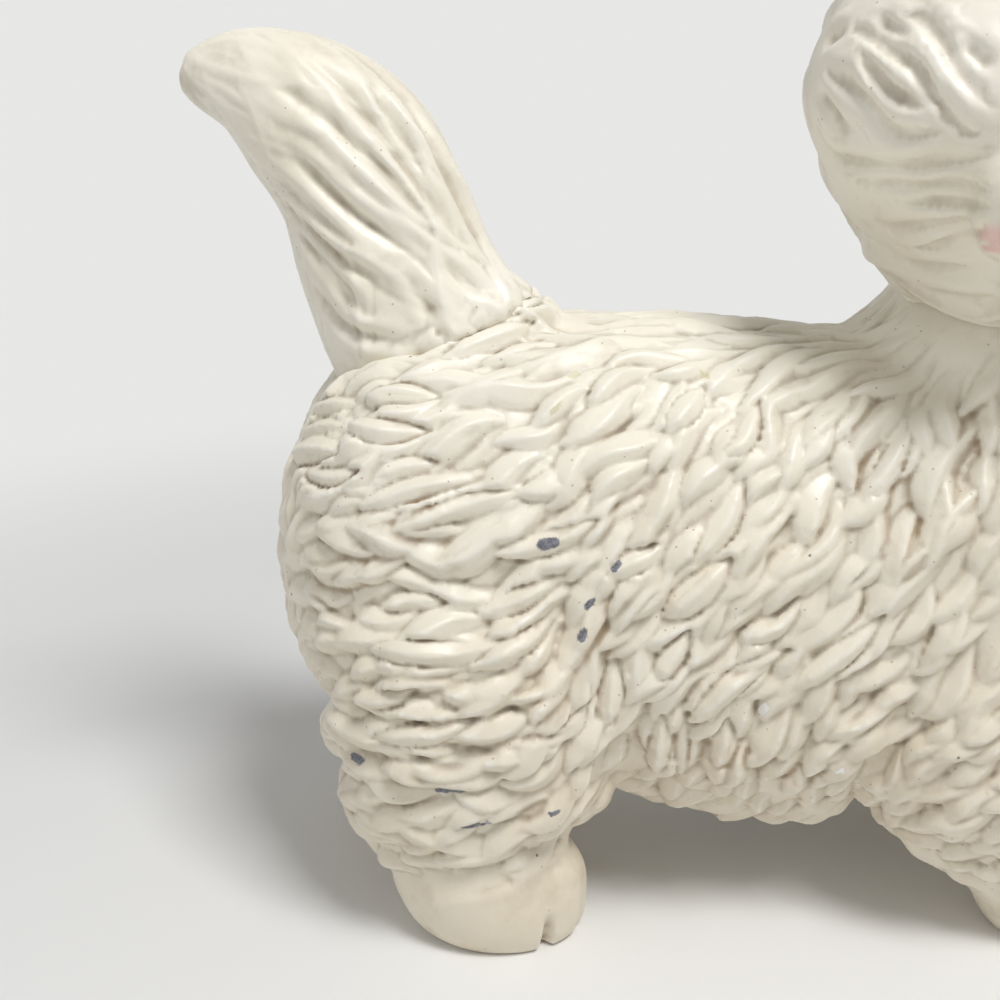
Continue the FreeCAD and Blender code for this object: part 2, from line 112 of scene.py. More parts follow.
# Node helpers
class Wire:
    """A node's output, which can be reckoned with as a number or a vector can."""

    def __init__(self, tree, socket):
        self.tree = tree
        self.socket = socket

    def calc(self, operation, *others):
        """This value and any others, worked out by a maths node."""
        kind = "ShaderNodeVectorMath" if self.socket.type == "VECTOR" else "ShaderNodeMath"
        return wire(self.tree, kind, dict(enumerate((self, *others))), operation=operation)

    def after(self, operation, number):
        """A plain number, then this value, worked out by a maths node."""
        return wire(self.tree, "ShaderNodeMath", {0: number, 1: self}, operation=operation)

    def __add__(self, other):
        return self.calc("ADD", other)

    def __sub__(self, other):
        return self.calc("SUBTRACT", other)

    def __truediv__(self, other):
        return self.calc("DIVIDE", other)

    def __rsub__(self, number):
        return self.after("SUBTRACT", number)

    def __rtruediv__(self, number):
        return self.after("DIVIDE", number)

    def __mul__(self, other):
        if self.socket.type == "VECTOR":
            return wire(self.tree, "ShaderNodeVectorMath", {0: self, "Scale": other}, operation="SCALE")
        return self.calc("MULTIPLY", other)


def fill(node, inputs):
    """Fills or links a node's inputs."""
    for key, value in inputs.items():
        if isinstance(value, Wire):
            value.tree.links.new(value.socket, node.inputs[key])
        else:
            node.inputs[key].default_value = value


def put(tree, kind, inputs=None, **settings):
    """One node with its settings made and its inputs filled or linked."""
    node = tree.nodes.new(kind)
    for name, value in settings.items():
        setattr(node, name, value)
    fill(node, inputs or {})
    return node


def wire(tree, kind, inputs=None, output=0, **settings):
    """One output of a new node."""
    return Wire(tree, put(tree, kind, inputs, **settings).outputs[output])


def eased(value, points):
    """The value sent through a smooth curve with these points."""
    node = put(value.tree, "ShaderNodeFloatCurve", {"Value": value})
    curve = node.mapping.curves[0]
    for place in points[1:-1]:
        curve.points.new(*place)
    curve.points[0].location = points[0]
    curve.points[len(points) - 1].location = points[-1]
    node.mapping.update()
    return Wire(value.tree, node.outputs[0])


# Object helpers
def new_object(name, data):
    """An object in the scene."""
    made = bpy.data.objects.new(name, data)
    bpy.context.scene.collection.objects.link(made)
    return made


def object_of(name, mesh):
    """A mesh object made of a drawn mesh, which is used up."""
    data = bpy.data.meshes.new(name)
    mesh.to_mesh(data)
    mesh.free()
    return new_object(name, data)


def add_modifier(made, kind, **settings):
    """One more modifier on the object."""
    modifier = made.modifiers.new(kind.lower(), kind)
    for name, value in settings.items():
        setattr(modifier, name, value)
    return modifier


def settled(made):
    """The object with its modifiers worked into a plain mesh."""
    graph = bpy.context.evaluated_depsgraph_get()
    mesh = bpy.data.meshes.new_from_object(made.evaluated_get(graph))
    made.modifiers.clear()
    made.data = mesh
    return made


def rows_of(items, field):
    """A field of the mesh's items, such as the places of its vertices, one row each."""
    flat = np.empty(len(items) * 3, np.float32)
    items.foreach_get(field, flat)
    return flat.reshape(-1, 3).astype(float)


def points_of(skin):
    """The places of the skin's vertices."""
    return rows_of(skin.data.vertices, "co")


def normals_of(skin):
    """The normals of the skin's vertices."""
    return rows_of(skin.data.vertex_normals, "vector")


def move_points(skin, places):
    """Puts the skin's vertices at these places."""
    skin.data.vertices.foreach_set("co", places.astype(np.float32).ravel())
    skin.data.update()


def keep(skin, **fields):
    """Stores numbers or vectors for each of the skin's vertices, under their names."""
    for name, values in fields.items():
        kind, field = ("FLOAT", "value") if values.ndim == 1 else ("FLOAT_VECTOR", "vector")
        layer = skin.data.attributes.new(name, kind, "POINT")
        layer.data.foreach_set(field, values.astype(np.float32).ravel())


# The lie of the coat on the visible flank: picture column and row, heading in degrees
# from right and anticlockwise in the picture, lock length and width in millimetres
FLANK_MARKS = (
    (500, 345, 185, 36, 6), (430, 380, 198, 24, 7), (360, 400, 205, 24, 8), (330, 430, 195, 22, 7),
    (310, 480, 185, 21, 8), (300, 545, 180, 21, 8), (335, 600, 178, 22, 8), (400, 470, 195, 22, 7),
    (475, 450, 205, 24, 7), (400, 560, 180, 22, 7), (470, 540, 190, 24, 7), (540, 520, 205, 24, 7),
    (400, 640, 185, 22, 7), (350, 680, 180, 22, 7), (480, 620, 195, 24, 7), (545, 600, 215, 22, 7),
    (450, 690, 183, 24, 7), (380, 730, 182, 20, 7), (520, 690, 195, 24, 7), (565, 650, 235, 18, 6),
    (600, 690, 262, 16, 6), (590, 740, 225, 18, 6), (440, 760, 180, 24, 7), (500, 780, 188, 24, 7),
    (570, 770, 200, 22, 7), (380, 800, 180, 20, 6), (430, 840, 182, 20, 6), (520, 820, 192, 20, 6),
    (560, 390, 205, 26, 7), (600, 450, 225, 24, 7), (590, 540, 228, 22, 7), (620, 610, 235, 22, 7),
    (640, 390, 215, 22, 7), (690, 400, 240, 22, 7), (650, 480, 232, 24, 7), (680, 560, 228, 24, 7),
    (740, 390, 235, 22, 6), (790, 400, 250, 22, 7), (740, 470, 235, 24, 7), (800, 480, 243, 24, 7),
    (760, 560, 232, 24, 7), (700, 640, 228, 24, 7), (780, 640, 230, 24, 7), (850, 450, 250, 24, 7),
    (850, 540, 240, 24, 7), (900, 480, 255, 26, 7), (930, 560, 245, 26, 7), (860, 640, 232, 24, 7),
    (940, 640, 238, 24, 7), (980, 480, 260, 24, 7), (990, 580, 250, 24, 7), (660, 700, 235, 20, 6),
    (640, 750, 250, 14, 6), (700, 770, 255, 14, 6), (720, 710, 238, 22, 7), (790, 710, 228, 22, 7),
    (770, 780, 262, 13, 6), (830, 790, 262, 13, 6), (860, 720, 232, 20, 7), (930, 720, 220, 22, 7),
    (900, 790, 225, 16, 6), (950, 820, 215, 18, 6), (990, 760, 215, 20, 7), (980, 880, 205, 16, 6),
    (1060, 640, 240, 24, 7), (1100, 760, 215, 20, 7), (1080, 880, 200, 16, 6), (1090, 500, 260, 24, 7),
)
flank_mark_y = seam_y - 44.2 * MM
# Marks away from the flank: a place in millimetres, across from the seam, and a heading,
# then lock length and width
OTHER_MARKS = (
    ((-109, 0, 110), (0, 0.2, -1), 21, 8), ((-108, 0, 80), (0, -0.2, -1), 21, 8),
    ((-105, 0, 50), (0, 0, -1), 21, 7), ((-60, 0, 152), (-1, 0, 0), 34, 5),
    ((0, 0, 150), (-1, 0, 0), 38, 5), ((40, 0, 150), (-1, 0, 0), 38, 5),
    ((-60, 0, 35), (-0.5, 0, -0.5), 14, 6), ((0, 0, 20), (-1, 0, 0), 14, 6),
    ((108, 0, 140), (0, 0, -1), 24, 7), ((109, 0, 110), (0, 0, -1), 24, 7),
    ((108, 0, 80), (0, 0, -1), 22, 7), ((100, 0, 50), (0, 0, -1), 18, 7),
    ((105, -41, 120), (-0.6, -0.6, -1), 24, 7), ((110, -36, 80), (-0.4, -0.4, -1), 22, 7),
    ((112, -33, 45), (-0.3, -0.4, -1), 18, 6), ((105, -26, 30), (-0.3, -0.4, -1), 14, 6),
)

# Locks that the photograph shows plainly: the columns and rows of picture places from root to tip,
# then the width, in pixels
PLAIN_LOCKS = (
    (545, 296, 515, 306, 470, 322, 24), (520, 312, 470, 330, 420, 348, 26),
    (455, 335, 410, 352, 352, 362, 26), (535, 322, 490, 338, 440, 362, 24),
    (440, 395, 400, 392, 364, 400, 26), (430, 430, 390, 432, 347, 425, 26),
    (355, 400, 330, 405, 316, 412, 22), (345, 425, 325, 425, 305, 435, 20),
    (340, 450, 310, 450, 286, 466, 34), (360, 470, 330, 478, 308, 472, 20),
    (480, 478, 420, 487, 358, 508, 24), (440, 462, 400, 468, 375, 478, 20),
    (520, 490, 450, 510, 395, 530, 22), (705, 385, 690, 405, 668, 432, 28),
    (655, 365, 620, 375, 590, 405, 22), (600, 520, 560, 540, 495, 555, 24),
    (760, 400, 745, 440, 722, 455, 22), (745, 480, 725, 525, 690, 565, 26),
    (910, 430, 885, 475, 862, 498, 24), (510, 640, 450, 655, 368, 648, 26),
    (450, 603, 415, 600, 382, 608, 16), (560, 580, 520, 600, 480, 615, 24),
    (560, 610, 530, 640, 480, 665, 24), (665, 545, 640, 560, 605, 575, 24),
    (615, 660, 612, 690, 608, 725, 24), (730, 560, 700, 590, 665, 617, 36),
    (690, 630, 675, 655, 658, 680, 26), (790, 650, 740, 680, 690, 725, 28),
    (662, 715, 660, 745, 655, 772, 24), (684, 725, 683, 750, 680, 774, 15),
    (728, 720, 724, 745, 716, 768, 26), (800, 600, 780, 625, 740, 640, 24),
    (885, 615, 850, 650, 790, 690, 26), (590, 700, 575, 725, 545, 745, 22),
    (420, 690, 390, 700, 352, 700, 22), (480, 720, 430, 735, 372, 735, 24),
)
# Deep creases between locks, over the flank and thigh: columns and rows of picture places
FLANK_CREASES = (
    (800, 500, 785, 530, 765, 550), (830, 515, 812, 542, 790, 565), (885, 540, 878, 555, 865, 570),
    (380, 695, 430, 695, 490, 672), (340, 710, 410, 722, 440, 728, 500, 710),
    (400, 755, 440, 767, 470, 763), (440, 750, 475, 754, 505, 755), (310, 590, 345, 618, 380, 598),
    (500, 703, 535, 685, 548, 670), (490, 715, 545, 700, 560, 680), (500, 745, 560, 735, 590, 710),
    (580, 665, 615, 618, 650, 580), (760, 628, 790, 608, 810, 585), (720, 675, 750, 672, 775, 662),
    (840, 590, 865, 570, 885, 545), (840, 680, 870, 665, 895, 645), (840, 727, 865, 710, 885, 690),
    (820, 765, 880, 725, 915, 700), (650, 400, 622, 425, 590, 450), (660, 480, 632, 502, 600, 520),
    (680, 500, 662, 532, 640, 560),
)
# The tail's long creases, from its root towards its tip
TAIL_CREASES = (
    (447, 252, 392, 180, 349, 141, 310, 105, 254, 68), (414, 256, 345, 206, 282, 139),
    (360, 254, 314, 211, 255, 154), (384, 282, 332, 254, 280, 196), (375, 317, 353, 300, 297, 228),
    (410, 345, 343, 328, 304, 272), (518, 298, 494, 269, 462, 204, 429, 141, 397, 92, 330, 42),
    (427, 189, 406, 141, 366, 81), (473, 263, 418, 183, 360, 107, 301, 52),
    (440, 325, 425, 300, 400, 270), (497, 300, 470, 285, 440, 262),
)
# Soft folds of the cheek, on the side that the photograph shows
HEAD_FOLDS = (
    (900, 9, 923, 20, 941, 39, 953, 59, 968, 80, 998, 110), (962, 37, 974, 53, 996, 71),
    (841, 24, 872, 35, 890, 49, 911, 63, 923, 80, 933, 98, 949, 120, 976, 139, 998, 151),
    (858, 55, 876, 76, 894, 94, 919, 106, 932, 111),
    (819, 75, 839, 78, 855, 92, 870, 108, 886, 127, 907, 135, 947, 133),
    (813, 92, 825, 104, 837, 120, 851, 135),
    (813, 122, 823, 143, 837, 159, 858, 163, 894, 169, 935, 163, 984, 161, 998, 160),
    (862, 185, 890, 184, 923, 188, 953, 186, 998, 192), (902, 202, 943, 202, 984, 206, 999, 208),
    (911, 245, 927, 249, 955, 241, 984, 231, 998, 222), (874, 18, 894, 29, 911, 35),
    (823, 44, 835, 34, 847, 27), (870, 215, 890, 228, 930, 226, 975, 222),
    (880, 240, 905, 262, 950, 270, 996, 268),
)

# Marks on the glaze: column and row of a line's two ends in the picture, then half its width in pixels
SCUFFS = (
    (543, 545, 553, 543, 7), (614, 569, 620, 563, 4), (587, 607, 592, 600, 4), (581, 638, 583, 632, 5),
    (354, 757, 361, 760, 5), (438, 790, 462, 791, 3.6), (464, 827, 488, 823, 3.6),
    (551, 814, 559, 813, 3),
)
CHIPS = ((761, 712, 766, 707, 5), (838, 772, 843, 770, 3))
STAINS = ((571, 377, 577, 374, 4), (552, 412, 562, 404, 3), (700, 372, 708, 378, 3))
DIRT = (
    (905, 480, 902, 560, 22), (866, 400, 868, 478, 18), (980, 420, 960, 500, 18),
    (420, 520, 330, 590, 24), (600, 640, 560, 720, 20), (640, 740, 830, 780, 16),
)
BLUSHES = ((995, 238, 1050, 232, 13), (980, 236, 996, 232, 5), (984, 248, 1000, 250, 4))

# How many points a path has that is read off the photograph: a lock's, a crease's and a mark's
lock_points = 9
crease_points = 14
mark_points = 6

# The lie of the coat between its marks, and where it thins out at the neck
mark_softness = 6 * MM
NECK_FADE_ALONG = (30 * MM, 48 * MM)
NECK_FADE_UP = (138 * MM, 152 * MM)

# The tail's strands
tail_root = np.array((-66, 0, 140)) * MM
tail_bend = np.array((-78, 0, 180)) * MM
tail_tip = np.array((-128, 0, 212)) * MM
tail_lock_length = 85 * MM
tail_lock_width = 9 * MM
tail_coat_at_tip = 0.3
tail_coat_more_at_root = 0.35

# The head's strands, which start at the muzzle and leave the face, the ears and the cheeks bare
head_whorl = (49.5, 0, 35.5)
head_lock_length = 62 * MM
head_lock_width = 11 * MM
head_coat = 0.9
cheek_coat_less = 0.85
cheek_middle = (10, -50, 42)
FACE_FADE = (28 * MM, 48 * MM)
EAR_FADE = (240 * MM, 244 * MM)
CHEEK_FADE = (28 * MM, 50 * MM)

# The coat's carving on each skin
BODY_CARVING = {"Spacing": lock_spacing, "Relief": 2.9 * MM, "Sink": 1.3 * MM, "Seed": coat_seed}
TAIL_CARVING = {"Spacing": 8.5 * MM, "Relief": 1.0 * MM, "Sink": 0.8 * MM, "Seed": coat_seed + 1}
HEAD_CARVING = {"Spacing": 11.0 * MM, "Relief": 1.1 * MM, "Sink": 0.8 * MM, "Seed": coat_seed + 2}

# Depth and width of the cuts
FLANK_CREASE_CUT = (1.4 * MM, 1.2 * MM)
TAIL_CREASE_CUT = (1.6 * MM, 1.7 * MM)
HEAD_FOLD_CUT = (1.5 * MM, 2.0 * MM)
TOE_CLEFT_CUT = (2.9 * MM, 1.7 * MM)
PHILTRUM_CUT = (1.1 * MM, 1.1 * MM)
LIP_CUT = (2.0 * MM, 1.7 * MM)

# The clefts between the toes: their places around a paw and their height
toe_angles = (math.radians(-62), 0.0, math.radians(62))
toe_height = 12 * MM

# How high the plain paw reaches, at its heel and at its toes, and over what height the coat sets in
bare_heel = 8 * MM
bare_toe = 22 * MM
bare_fade = 9 * MM

# How deep a crease is that holds the full tan wash and painted shade
hollow_full = 0.5 * MM

# How the listed locks fill out and lift from root to tip, and how furrows are shaped
FULLNESS_PLACES = (0.0, 0.25, 0.5, 0.78, 0.92, 1.0)
FULLNESS_SHARES = (0.35, 0.85, 1.0, 0.8, 0.45, 0.05)
LIFT_PLACES = (0.0, 0.4, 0.8, 1.0)
LIFT_SHARES = (-0.6, -0.1, 0.3, 0.2)
FURROW_PLACES = (0.0, 0.3, 0.7, 1.0)
FURROW_SHARES = (0.05, 1.0, 0.9, 0.05)
CLAIM_FADE = (-0.5 * MM, 0.3 * MM)
crown_share = 0.86
groove_share = 0.09
skirt_share = 0.36
lip_share = 0.35
hand_lock_relief = 2.6 * MM
hand_lock_base = 1.1 * MM
picture_to_flank = 0.216 * MM
drawn_width_share = 1.25

# The face, in millimetres forward, aside and up along the head's axes: first each form's middle and
# its half sizes, on one side and in the middle, then the line under the nose and the lip on one side
SIDE_FORMS = (((36, 19, 60), (8.5, 12, 5.5)), ((54, 8.5, 20.5), (12.5, 10.5, 9.5)),
              ((28, 33, 27), (13, 15, 15)))
MIDDLE_FORMS = (((50, 0, 9.5), (11, 10, 6.5)), ((50, 0, 38), (13, 9, 8)))
PHILTRUM = ((68, 0, 27), (68.5, 0, 20), (67, 0, 16))
LIP = ((67, 0, 16), (64, 8, 12.5), (55, 17, 12), (46, 21, 16))
LIP_FADE = (0.8 * MM, 3.2 * MM)
nostril = (69.5, 4.2, 33.2)
nostril_radius = 2.0 * MM
nostril_depth = 2.2 * MM
nose_middle = (61.4, 0, 33.7)
NOSE_SIZES = (12, 10.8, 8.4)
ear_lean = math.radians(16.0)
ear_foot = (6.5, 28, 76.6)
ear_rise = 13.5 * MM
EAR_SIZES = (5.5, 7.5, 13)
cheek_spot = (38, 31, 26)
CHEEK_SIZES = (17, 14, 12)
cheek_blush = 0.6

# The eyes, and the clay rolled round them
eye_turn = math.radians(16.0)
eye_spot = (43.1, 19.0, 49.3)
eye_setback = 3.9 * MM
lid_points = 36
lid_sphere = 7.9 * MM
lid_half_width = 7.3 * MM
lid_rise = 5.6 * MM
lid_drop = 5.0 * MM
lid_tilt = 0.12
lid_least_depth = 2 * MM
lid_thickness = 1.9 * MM
roll_sides = 12

# The opening over the belly's plug: where its edge starts and ends, and how deep it is
PLUG_EDGE = (0.2 * MM, 1.1 * MM)
plug_sink = 1.4 * MM

# Floor, backdrop and light
floor_colour = (0.86, 0.86, 0.85, 1)
backdrop_colour = (0.80, 0.80, 0.79, 1)
floor_fade_start = 0.2
floor_fade_end = 0.55
floor_size = 6.0
world_strength = 0.3
LAMPS = (("key", (0.3, -0.5, 1.2), 0.4, 11.0), ("fill", (-0.9, -0.5, 0.55), 0.8, 1.2))
lamp_aim = (0, 0, 0.1)


# Reading places off the photograph
def sight(column, row):
    """The direction of the camera's ray through a place in the picture."""
    half = picture_size / 2
    ray = camera_ahead + camera_right * ((column - half) / focal_pixels)
    return (ray - camera_up * ((row - half) / focal_pixels)).normalized()


def on_flank(column, row):
    """The place on the flank's upright plane that the picture shows there."""
    ray = sight(column, row)
    return camera_place + ray * ((flank_mark_y - camera_place.y) / ray.y)


def hunter(skin):
    """A search tree of the skin's faces, for rays from the camera."""
    corners = [vertex.co for vertex in skin.data.vertices]
    return BVHTree.FromPolygons(corners, [face.vertices for face in skin.data.polygons])


def eased_stroke(points, count):
    """A smooth line of evenly numbered points through the points of a stroke."""
    marks = np.array(points, float).reshape(-1, 2)
    if len(marks) == 2:
        return marks[0] + (marks[1] - marks[0]) * np.linspace(0, 1, count)[:, None]
    held = np.vstack([2 * marks[0] - marks[1], marks, 2 * marks[-1] - marks[-2]])
    line = []
    for place in np.linspace(0, len(marks) - 1, count):
        k = min(int(place), len(marks) - 2)
        t = place - k
        a, b, c, d = held[k:k + 4]
        line.append(((2 * b) + (c - a) * t + (2 * a - 5 * b + 4 * c - d) * t**2
                     + (3 * b - a - 3 * c + d) * t**3) / 2)
    return np.array(line)


def on_skin(hunt, points, count=lock_points):
    """The path on the skin under a stroke over the photograph, or None where it misses."""
    hits = [hunt.ray_cast(camera_place, sight(*spot))[0] for spot in eased_stroke(points, count)]
    path = [np.array(hit) for hit in hits if hit is not None]
    return np.array(path) if len(path) > 1 else None


def over_seam(path):
    """The same path on the other side of the mould seam."""
    other = path.copy()
    other[:, 1] = 2 * seam_y - other[:, 1]
    return other


def nearest_on(places, path):
    """How far each place is from a path, and how far along the path it is nearest, as a share."""
    steps = np.linalg.norm(np.diff(path, axis=0), axis=1)
    shares = np.concatenate([[0.0], np.cumsum(steps)]) / max(steps.sum(), 1e-9)
    away = np.full(len(places), 1.0)
    along = np.zeros(len(places))
    for k, (start, end) in enumerate(zip(path, path[1:])):
        run = end - start
        part = np.clip((places - start) @ run / max(run @ run, 1e-12), 0, 1)
        here = np.linalg.norm(places - start - part[:, None] * run, axis=1)
        closer = here < away
        away[closer] = here[closer]
        along[closer] = shares[k] + part[closer] * (shares[k + 1] - shares[k])
    return away, along


def near_box(places, path, margin):
    """Which places lie in the path's box, grown by a margin."""
    low = path.min(axis=0) - margin
    high = path.max(axis=0) + margin
    return np.all((places > low) & (places < high), axis=1)


def furrows(places, paths, depth, width):
    """Depth of rounded furrows along paths, each with a soft lip on either side."""
    cut = np.zeros(len(places))
    for path in paths:
        near = near_box(places, path, 4 * width)
        away, along = nearest_on(places[near], path)
        ends = np.interp(along, FURROW_PLACES, FURROW_SHARES)
        away = away / width
        shape = lip_share * np.exp(-((away - 2.0) ** 2)) - np.exp(-(away**2))
        cut[near] = np.where(np.abs(shape) * depth > np.abs(cut[near]), shape * depth * ends, cut[near])
    return cut


def hand_locks(places, drawn):
    """Height of the listed locks, for each place, and -1 where there are none."""
    rise = np.full(len(places), -1.0)
    for path, width in drawn:
        near = near_box(places, path, width)
        away, along = nearest_on(places[near], path)
        half = width / 2 * np.interp(along, FULLNESS_PLACES, FULLNESS_SHARES)
        inside = away < half
        across = np.where(inside, away / half, 1.0)
        lift = np.interp(along, LIFT_PLACES, LIFT_SHARES) * hand_lock_relief
        crown = crown_share + groove_share * np.cos(lobes_per_lock * across)
        dome = crown * (1 - across**2) - skirt_share
        height = np.where(inside, lift + dome * half + hand_lock_base, -1.0)
        rise[near] = np.maximum(rise[near], height)
    return rise


def coat_marks():
    """Places, headings, lengths and widths of the coat, on both sides of the mould seam."""
    rows = []
    for column, row, heading, length, width in FLANK_MARKS:
        angle = math.radians(heading)
        place = on_flank(column, row)
        rows.append((*place, math.cos(angle), 0.0, math.sin(angle), length * MM, width * MM))
    for place, heading, length, width in OTHER_MARKS:
        aim = Vector(heading).normalized()
        spot = Vector(place) * MM + Vector((0, seam_y, 0))
        rows.append((*spot, *aim, length * MM, width * MM))
    near = np.array(rows)
    far = over_seam(near)
    far[:, 4] = -far[:, 4]
    return np.vstack([near, far])


def across_skin(vectors, normals):
    """The vectors laid flat on the skin, each of length one."""
    flat = vectors - normals * np.sum(vectors * normals, axis=1, keepdims=True)
    return flat / np.maximum(np.linalg.norm(flat, axis=1, keepdims=True), 1e-9)


def weighed(places, marks, values):
    """Values of the marks, weighed by how near each is to a place."""
    total = np.zeros((len(places), values.shape[1]))
    weight = np.zeros((len(places), 1))
    for mark, value in zip(marks, values):
        near = 1.0 / (np.sum((places - mark) ** 2, axis=1, keepdims=True) + mark_softness**2) ** 2
        total += near * value
        weight += near
    return total / weight


def head_spot(forward, aside, up, side=1):
    """A place given in millimetres along the head's own axes."""
    return head_base + (head_forward * forward + head_aside * (side * aside) + head_up * up) * MM


def face_path(points, side=1):
    """A path over the face, from places in millimetres along the head's own axes."""
    return np.array([head_spot(*point, side) for point in points])


def eased_step(value, low, high):
    """0 below low, 1 above high and smooth between."""
    part = np.clip((value - low) / (high - low), 0, 1)
    return part * part * (3 - 2 * part)


def comb(skin, headings, length, width, coat):
    """Stores the lie of the coat, its locks' length and width, and how fully it stands."""
    every = np.ones(len(coat))
    keep(skin, comb=across_skin(headings, normals_of(skin)), lock_length=length * every,
         lock_width=width * every, coat=coat)


def comb_body(skin):
    """The coat over the body and legs."""
    places = points_of(skin)
    marks = coat_marks()
    laid = weighed(places, marks[:, :3], marks[:, 3:])
    along, height = places[:, 0], places[:, 2]
    bare = np.zeros(len(places))
    for leg, ours in (("right_hind_leg", along < 0), ("right_front_leg", along > 0)):
        heel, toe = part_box(leg)
        share = np.clip((along - heel.x) / (toe.x - heel.x), 0, 1)
        bare = np.where(ours, bare_heel + (bare_toe - bare_heel) * share, bare)
    coat = eased_step(height, bare, bare + bare_fade)
    neck = eased_step(along, *NECK_FADE_ALONG) * eased_step(height, *NECK_FADE_UP)
    comb(skin, laid[:, :3], laid[:, 3], laid[:, 4], coat * (1 - neck))


def comb_tail(skin):
    """The long strands of the tail, from its root to its tip."""
    height = points_of(skin)[:, 2]
    part = np.clip((height - tail_root[2]) / (tail_tip[2] - tail_root[2]), 0, 1)[:, None]
    heading = (tail_bend - tail_root) * (1 - part) + (tail_tip - tail_bend) * part
    comb(skin, heading, tail_lock_length, tail_lock_width,
         tail_coat_at_tip + tail_coat_more_at_root * (1 - part[:, 0]))


def comb_head(skin):
    """The strands of the head, spread from the muzzle back over the skull."""
    places = points_of(skin)
    spread = places - head_spot(*head_whorl)
    far_from_face = eased_step(np.linalg.norm(spread, axis=1), *FACE_FADE)
    ears = eased_step(places[:, 2], *EAR_FADE)
    cheek = 1 - eased_step(np.linalg.norm(places - head_spot(*cheek_middle), axis=1), *CHEEK_FADE)
    comb(skin, spread, head_lock_length, head_lock_width,
         far_from_face * (1 - ears) * (head_coat - cheek_coat_less * cheek))


# The skins
def blob(mesh, centre, radii):
    """Adds a ball, stretched along the head's axes, to be drawn into one skin with the rest."""
    made = bmesh.ops.create_icosphere(mesh, subdivisions=4, radius=1.0)
    for vertex in made["verts"]:
        shares = zip(HEAD_AXES, radii, vertex.co)
        vertex.co = Vector(centre + sum((axis * (radius * MM * part) for axis, radius, part in shares),
                                        np.zeros(3)))


def clay_ring(mesh, path, radius):
    """Adds a round roll of clay along a closed path."""
    count = len(path)
    rings = []
    for k in range(count):
        run = path[(k + 1) % count] - path[k - 1]
        run = run / np.linalg.norm(run)
        out = np.cross(run, head_up)
        out = out / np.linalg.norm(out)
        side = np.cross(run, out)
        turns = [math.tau * turn / roll_sides for turn in range(roll_sides)]
        rings.append([mesh.verts.new(path[k] + (out * math.cos(turn) + side * math.sin(turn)) * radius)
                      for turn in turns])
    for k, here in enumerate(rings):
        ahead = rings[(k + 1) % count]
        for turn in range(roll_sides):
            after = (turn + 1) % roll_sides
            mesh.faces.new((here[turn], here[after], ahead[after], ahead[turn]))


def eye_seat(side):
    """Where an eye sits on the face, and the direction that it looks in."""
    gaze = head_forward * math.cos(eye_turn) + head_aside * (side * math.sin(eye_turn))
    return head_spot(*eye_spot, side), gaze


def eyelids(mesh, side):
    """A roll round the almond opening of one eye, laid over the glass ball."""
    seat, gaze = eye_seat(side)
    ball = seat - gaze * eye_setback
    across = np.cross(gaze, head_up) * -side
    path = []
    for k in range(lid_points):
        angle = math.tau * k / lid_points
        out = math.cos(angle) * lid_half_width
        up = math.sin(angle) * (lid_rise if math.sin(angle) > 0 else lid_drop) + lid_tilt * out
        deep = math.sqrt(max(lid_sphere**2 - out**2 - up**2, lid_least_depth**2))
        path.append(ball + across * out + head_up * up + gaze * deep)
    clay_ring(mesh, path, lid_thickness)


def face_forms(mesh):
    """The soft forms of the face: brows, lids, muzzle pads, cheeks, chin and the muzzle's bridge."""
    for side in (-1, 1):
        eyelids(mesh, side)
        for middle, radii in SIDE_FORMS:
            blob(mesh, head_spot(*middle, side), radii)
    for middle, radii in MIDDLE_FORMS:
        blob(mesh, head_spot(*middle), radii)


def cast_skin(name, nodes, grain, more_forms=None):
    """One smooth closed skin round these CAD nodes and any forms laid on them."""
    welded = bmesh.new()
    for node in nodes:
        welded.from_mesh(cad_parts[node].data)
    bmesh.ops.remove_doubles(welded, verts=welded.verts, dist=weld_reach)
    if more_forms:
        more_forms(welded)
    skin = object_of(name, welded)
    add_modifier(skin, "DISPLACE", strength=skin_swell, mid_level=0.0)
    add_modifier(skin, "REMESH", mode="VOXEL", voxel_size=grain)
    add_modifier(skin, "SMOOTH", factor=0.5, iterations=skin_smoothing)
    add_modifier(skin, "SUBSURF", levels=1, render_levels=1)
    return settled(skin)


def sculpt_face(skin):
    """The mouth and the nostrils."""
    places = points_of(skin)
    cut = furrows(places, [face_path(PHILTRUM)], *PHILTRUM_CUT)
    cut += furrows(places, [face_path(LIP, side) for side in (-1, 1)], *LIP_CUT)
    for side in (-1, 1):
        away = np.linalg.norm(places - head_spot(*nostril, side), axis=1) / nostril_radius
        cut -= nostril_depth * np.exp(-(away**2))
    move_points(skin, places + normals_of(skin) * cut[:, None])


# The coat's tree
def named(tree, name, data_type="FLOAT"):
    """A stored attribute, read by its name."""
    return wire(tree, "GeometryNodeInputNamedAttribute", {"Name": name}, data_type=data_type)


def stored(geometry, name, value, data_type="FLOAT"):
    """The geometry with a value stored on its points."""
    return wire(geometry.tree, "GeometryNodeStoreNamedAttribute",
                {"Geometry": geometry, "Name": name, "Value": value}, data_type=data_type, domain="POINT")


def chance(ident, low, high, seed):
    """A seeded random number from low to high for each lock."""
    return wire(ident.tree, "FunctionNodeRandomValue", {2: low, 3: high, "ID": ident, "Seed": seed}, 1,
                data_type="FLOAT")


def here(tree):
    """The place of each point."""
    return wire(tree, "GeometryNodeInputPosition")


def from_skin(skin, name):
    """A vector stored on the skin, read where the skin is nearest."""
    tree = skin.tree
    return wire(tree, "GeometryNodeSampleNearestSurface",
                {"Mesh": skin, "Value": named(tree, name, "FLOAT_VECTOR"), "Sample Position": here(tree)},
                data_type="FLOAT_VECTOR")


def blurred(value, times, weight=1.0, data_type="FLOAT"):
    """The value softened over its neighbours."""
    return wire(value.tree, "GeometryNodeBlurAttribute",
                {"Value": value, "Iterations": times, "Weight": weight}, data_type=data_type)


